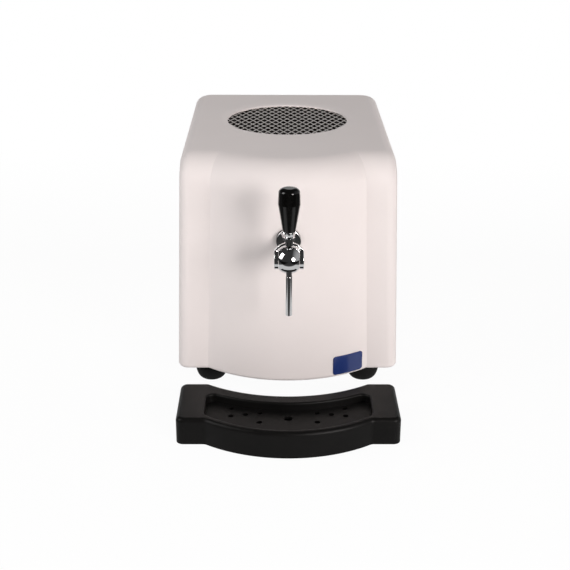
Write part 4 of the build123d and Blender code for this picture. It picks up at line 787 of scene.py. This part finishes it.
# %% Knob scale
SCALE_MARKS = 11
SCALE_TURN = 270.0
SCALE_RADIUS = 0.0215
SCALE_MARK_SIZE = (0.0014, 0.0046)
SCALE_MARK_CORNER = 0.0004


def about_knob(share):
    turn = Matrix.Rotation(math.radians(SCALE_TURN * share), 4, "Y")
    return Matrix.Translation(KNOB_AXIS) @ turn @ Matrix.Translation(-KNOB_AXIS)


black_mark = mark_finish("mark_black", (0.01, 0.01, 0.01), (0.03, 0.03, 0.03))
mark = thin_plate("scale_mark", KNOB_AXIS + Vector((0, BEHIND_KNOB, SCALE_RADIUS)), SCALE_MARK_SIZE,
                  SCALE_MARK_CORNER, MARK_THICKNESS, facing=BACK, target="rear_panel")
turns = [about_knob(index / (SCALE_MARKS - 1)) for index in range(1, SCALE_MARKS)]
scale = joined("knob_scale", [mark] + [copy_of(mark, turn) for turn in turns])
scale.data.materials.append(black_mark)
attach(scale, "cabinet")
print("scale marks:", SCALE_MARKS, "faces:", len(scale.data.polygons))

# %% [markdown]
# Contacts in the mains socket
#
# The three contacts of a mains socket are bare metal blades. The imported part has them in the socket's own
# black. One material for both would need a mask for each blade. So each blade gets a thin sleeve of brass
# instead: a box just larger than the blade, with its edges eased by a bevel.

# %% Socket contacts
mount_places = {mount["name"]: Vector(mount["pos_m"]) for mount in frame["record"]["mounts"]}
SOCKET = mount_places["mains_socket"]
CONTACT_SHIFTS = ((-0.007, -0.001), (0.0, 0.003), (0.007, -0.001))
SLEEVE_SIZE = (0.0023, 0.0131, 0.0043)
SLEEVE_DEPTH = 0.0094
SLEEVE_EASE = 0.0006


def contact_sleeve(x, z):
    bpy.ops.object.select_all(action="DESELECT")
    bpy.ops.mesh.primitive_cube_add(size=1, location=(x, PANEL_Y - SLEEVE_DEPTH, z))
    sleeve = bpy.context.object
    sleeve.scale = SLEEVE_SIZE
    keep_place(sleeve)
    use_modifier(sleeve, "BEVEL", width=SLEEVE_EASE, segments=3, limit_method="ANGLE")
    smooth(sleeve)
    return sleeve


first_x, first_z = CONTACT_SHIFTS[0]
sleeve = contact_sleeve(SOCKET.x + first_x, SOCKET.z + first_z)
sleeves = shifted_copies(sleeve, [(x - first_x, 0, z - first_z) for x, z in CONTACT_SHIFTS[1:]])
contacts = joined("socket_contacts", sleeves)
contacts.data.materials.append(finishes["brass"])
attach(contacts, "cabinet")
print("contacts:", len(CONTACT_SHIFTS), "faces:", len(contacts.data.polygons))

# %% [markdown]
# Rings on the hose fitting
#
# A hose fitting has sharp rings that grip the hose. They could be turned as the neck is, but a cone is
# nearly the shape already. Its narrow end points outwards, so that a hose slips on easily. Its two flat
# ends are inset, and its edges are eased a little.

# %% Hose rings
FITTING = mount_places["inlet_barb"]
RING_SHIFTS = (-0.0065, -0.0010, 0.0045)
RING_WIDE = 0.0058
RING_NARROW = 0.0050
RING_DEPTH = 0.0042
RING_INSET = 0.0021
RING_EASE = 0.00025
END_FACE = 0.95


def hose_ring(y):
    bpy.ops.object.select_all(action="DESELECT")
    bpy.ops.mesh.primitive_cone_add(vertices=64, radius1=RING_WIDE, radius2=RING_NARROW, depth=RING_DEPTH,
                                    location=(FITTING.x, y, FITTING.z), rotation=(math.radians(-90), 0, 0))
    ring = bpy.context.object
    keep_place(ring)
    bpy.ops.object.mode_set(mode="EDIT")
    bpy.ops.mesh.select_mode(type="FACE")
    bpy.ops.mesh.select_all(action="DESELECT")
    bpy.ops.object.mode_set(mode="OBJECT")
    for face in ring.data.polygons:
        face.select = abs(face.normal.y) > END_FACE
    bpy.ops.object.mode_set(mode="EDIT")
    bpy.ops.mesh.inset(thickness=RING_INSET, depth=0)
    bpy.ops.object.mode_set(mode="OBJECT")
    use_modifier(ring, "BEVEL", width=RING_EASE, segments=2, limit_method="ANGLE")
    smooth(ring)
    return ring


first_ring = hose_ring(FITTING.y + RING_SHIFTS[0])
ring_moves = [(0, y - RING_SHIFTS[0], 0) for y in RING_SHIFTS[1:]]
rings = joined("hose_rings", shifted_copies(first_ring, ring_moves))
rings.data.materials.append(finishes["brass"])
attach(rings, "cabinet")
print("rings:", len(RING_SHIFTS), "faces:", len(rings.data.polygons))

# %% [markdown]
# The floor
#
# The machine stands on a sheet of white paper. A floor could be lit until it is white, but then the
# machine would be too bright. So the floor glows plain white to the camera, except in the shade under the
# machine, and stays matt for the lamps. A small share of matt keeps a faint shadow near the machine. In
# polished metal the sheet has an end: its sides show, and its front edge half a metre ahead.

# %% Stage floor
WHITE = (1, 1, 1)
FLOOR_REACH = 6.0
FLOOR_PAPER = (0.9, 0.9, 0.9, 1)
FLOOR_SHADOW = 0.05
SHADOW_REACH = (0.3, 1.0)
SHADE_MIDDLE = 0.120
SHADE_WIDTH = (0.105, 0.125)
SHADE_DEPTH = (0.130, 0.160)
SHEET_LIGHT = 0.6
SHEET_SIDE = (0.43, 0.48)
SHEET_SIDE_DIM = 0.04
AHEAD = 1.0
SHEET_FRONT = (0.40, 0.46)
SHEET_FRONT_DIM = 0.06


def ray_is(start, kind):
    return start.node("LightPath", out="Is " + kind + " Ray")


def floor_finish():
    material = bpy.data.materials.new("white_sweep")
    material.use_nodes = True
    material.node_tree.nodes.clear()
    start = Shade(material.node_tree)
    place = start.node("TexCoord", out="Object")
    along = place.axis("Y")
    sideways = place.axis("X").from_zero()
    from_middle = (along - SHADE_MIDDLE).from_zero()
    shade = sideways.edge(SHADE_WIDTH, 1.0, 0.0) * from_middle.edge(SHADE_DEPTH, 1.0, 0.0)
    # A ramp has no places below zero, so the front edge is measured from a metre ahead of the middle.
    front = (along + AHEAD).edge(SHEET_FRONT, SHEET_FRONT_DIM, 1.0)
    sheet = sideways.edge(SHEET_SIDE, SHEET_LIGHT, SHEET_SIDE_DIM) * front
    mirrored = ray_is(start, "Glossy")
    glow = start.node("Emission", None, {"Color": mirrored.tint(WHITE, sheet), "Strength": 1.0})
    matt = start.node("BsdfDiffuse", None, {"Color": FLOOR_PAPER})
    near = from_middle.edge(SHADOW_REACH, 1.0, 0.0)
    bright = ray_is(start, "Camera") * (1.0 - shade) + mirrored + ray_is(start, "Transmission")
    share = bright * (1.0 - near * FLOOR_SHADOW)
    both = start.node("MixShader", None, {0: share, 1: matt, 2: glow})
    start.node("OutputMaterial", None, {"Surface": both})
    return material


bpy.ops.object.select_all(action="DESELECT")
bpy.ops.mesh.primitive_plane_add(size=2 * FLOOR_REACH, location=(0, 0, 0))
floor = bpy.context.object
floor.name = "floor"
floor.data.materials.append(floor_finish())
print("floor:", 2 * FLOOR_REACH, "m across")

# %% [markdown]
# The room
#
# Polished metal shows whatever is round it, so the room is part of the tap's look. Walls could be
# modelled, but they would shade the machine. The world can answer each kind of ray on its own instead:
# the camera sees white, reflections see a dim room with a bright backdrop low behind and a grey wall to
# the right, and all other light is a little even fill for the shades.

# %% Studio room
ROOM_FILL = (0.215, 0.215, 0.215)
ROOM_DIM = 0.035
BACKDROP_DEPTH = 1.2
BACKDROP_RISE = 2.6
BACKDROP_STOPS = ((0.0, ROOM_DIM), (0.12, 0.12), (0.35, 0.8), (0.6, 1.0))
WALL_GREY = 0.34
WALL_EDGE = (0.4, 0.85)


def studio_room():
    world = bpy.data.worlds.new("studio")
    world.use_nodes = True
    world.node_tree.nodes.clear()
    start = Shade(world.node_tree)
    # In a world, the first output of this node is the direction of the ray.
    way = start.node("TexCoord")
    backdrop = (way.axis("Y") * BACKDROP_DEPTH - way.axis("Z") * BACKDROP_RISE).ramp(*BACKDROP_STOPS)
    wall = way.axis("X").edge(WALL_EDGE, 0.0, WALL_GREY)
    level = ray_is(start, "Glossy").tint(ROOM_FILL, backdrop + wall)
    seen = ray_is(start, "Camera").tint(level, WHITE)
    room = start.node("Background", None, {"Color": seen, "Strength": 1.0})
    start.node("OutputWorld", None, {"Surface": room})
    return world


bpy.context.scene.world = studio_room()
print("room:", bpy.context.scene.world.name)

# %% [markdown]
# The lamps
#
# Two soft lamps stand in front of the machine: a large round one to the right, which throws the tap's
# soft shadow to the left, and a tall window-like one far to the left. Both show as bright patches in the
# chrome. Point lamps would give hard shadows, so all are area lamps of a studio's size. A third stands
# behind for the rear panel. It is kept out of reflections, as a flag in a studio would do, because its
# glare would lie on the top.


# %% Lamps
def soft_lamp(name, shape, place, target, size, power, tone):
    data = bpy.data.lights.new(name, "AREA")
    data.shape = shape
    data.size = size[0]
    data.size_y = size[1]
    data.energy = power
    data.color = tone
    lamp = bpy.data.objects.new(name, data)
    bpy.context.scene.collection.objects.link(lamp)
    way = (Vector(target) - Vector(place)).to_track_quat("-Z", "Y")
    lamp.matrix_world = Matrix.Translation(place) @ way.to_matrix().to_4x4()
    return lamp


soft_lamp("round_softbox", "DISK", place=(1.48, -2.25, 0.98), target=(0, -0.2, 0.2), size=(1.05, 1.05),
          power=48.0, tone=(1.0, 0.955, 0.93))
soft_lamp("window_softbox", "RECTANGLE", place=(-1.42, -0.59, 1.11), target=(0, -0.1, 0.22),
          size=(0.8, 1.15), power=13.0, tone=(1.0, 0.99, 0.98))
rear_lamp = soft_lamp("rear_softbox", "RECTANGLE", place=(0.5, 2.5, 0.85), target=(0, 0.28, 0.18),
                      size=(1.6, 1.2), power=24.0, tone=(1.0, 0.98, 0.965))
rear_lamp.visible_glossy = False
bpy.context.scene.view_settings.view_transform = "Standard"
print("lamps:", len(bpy.data.lights))
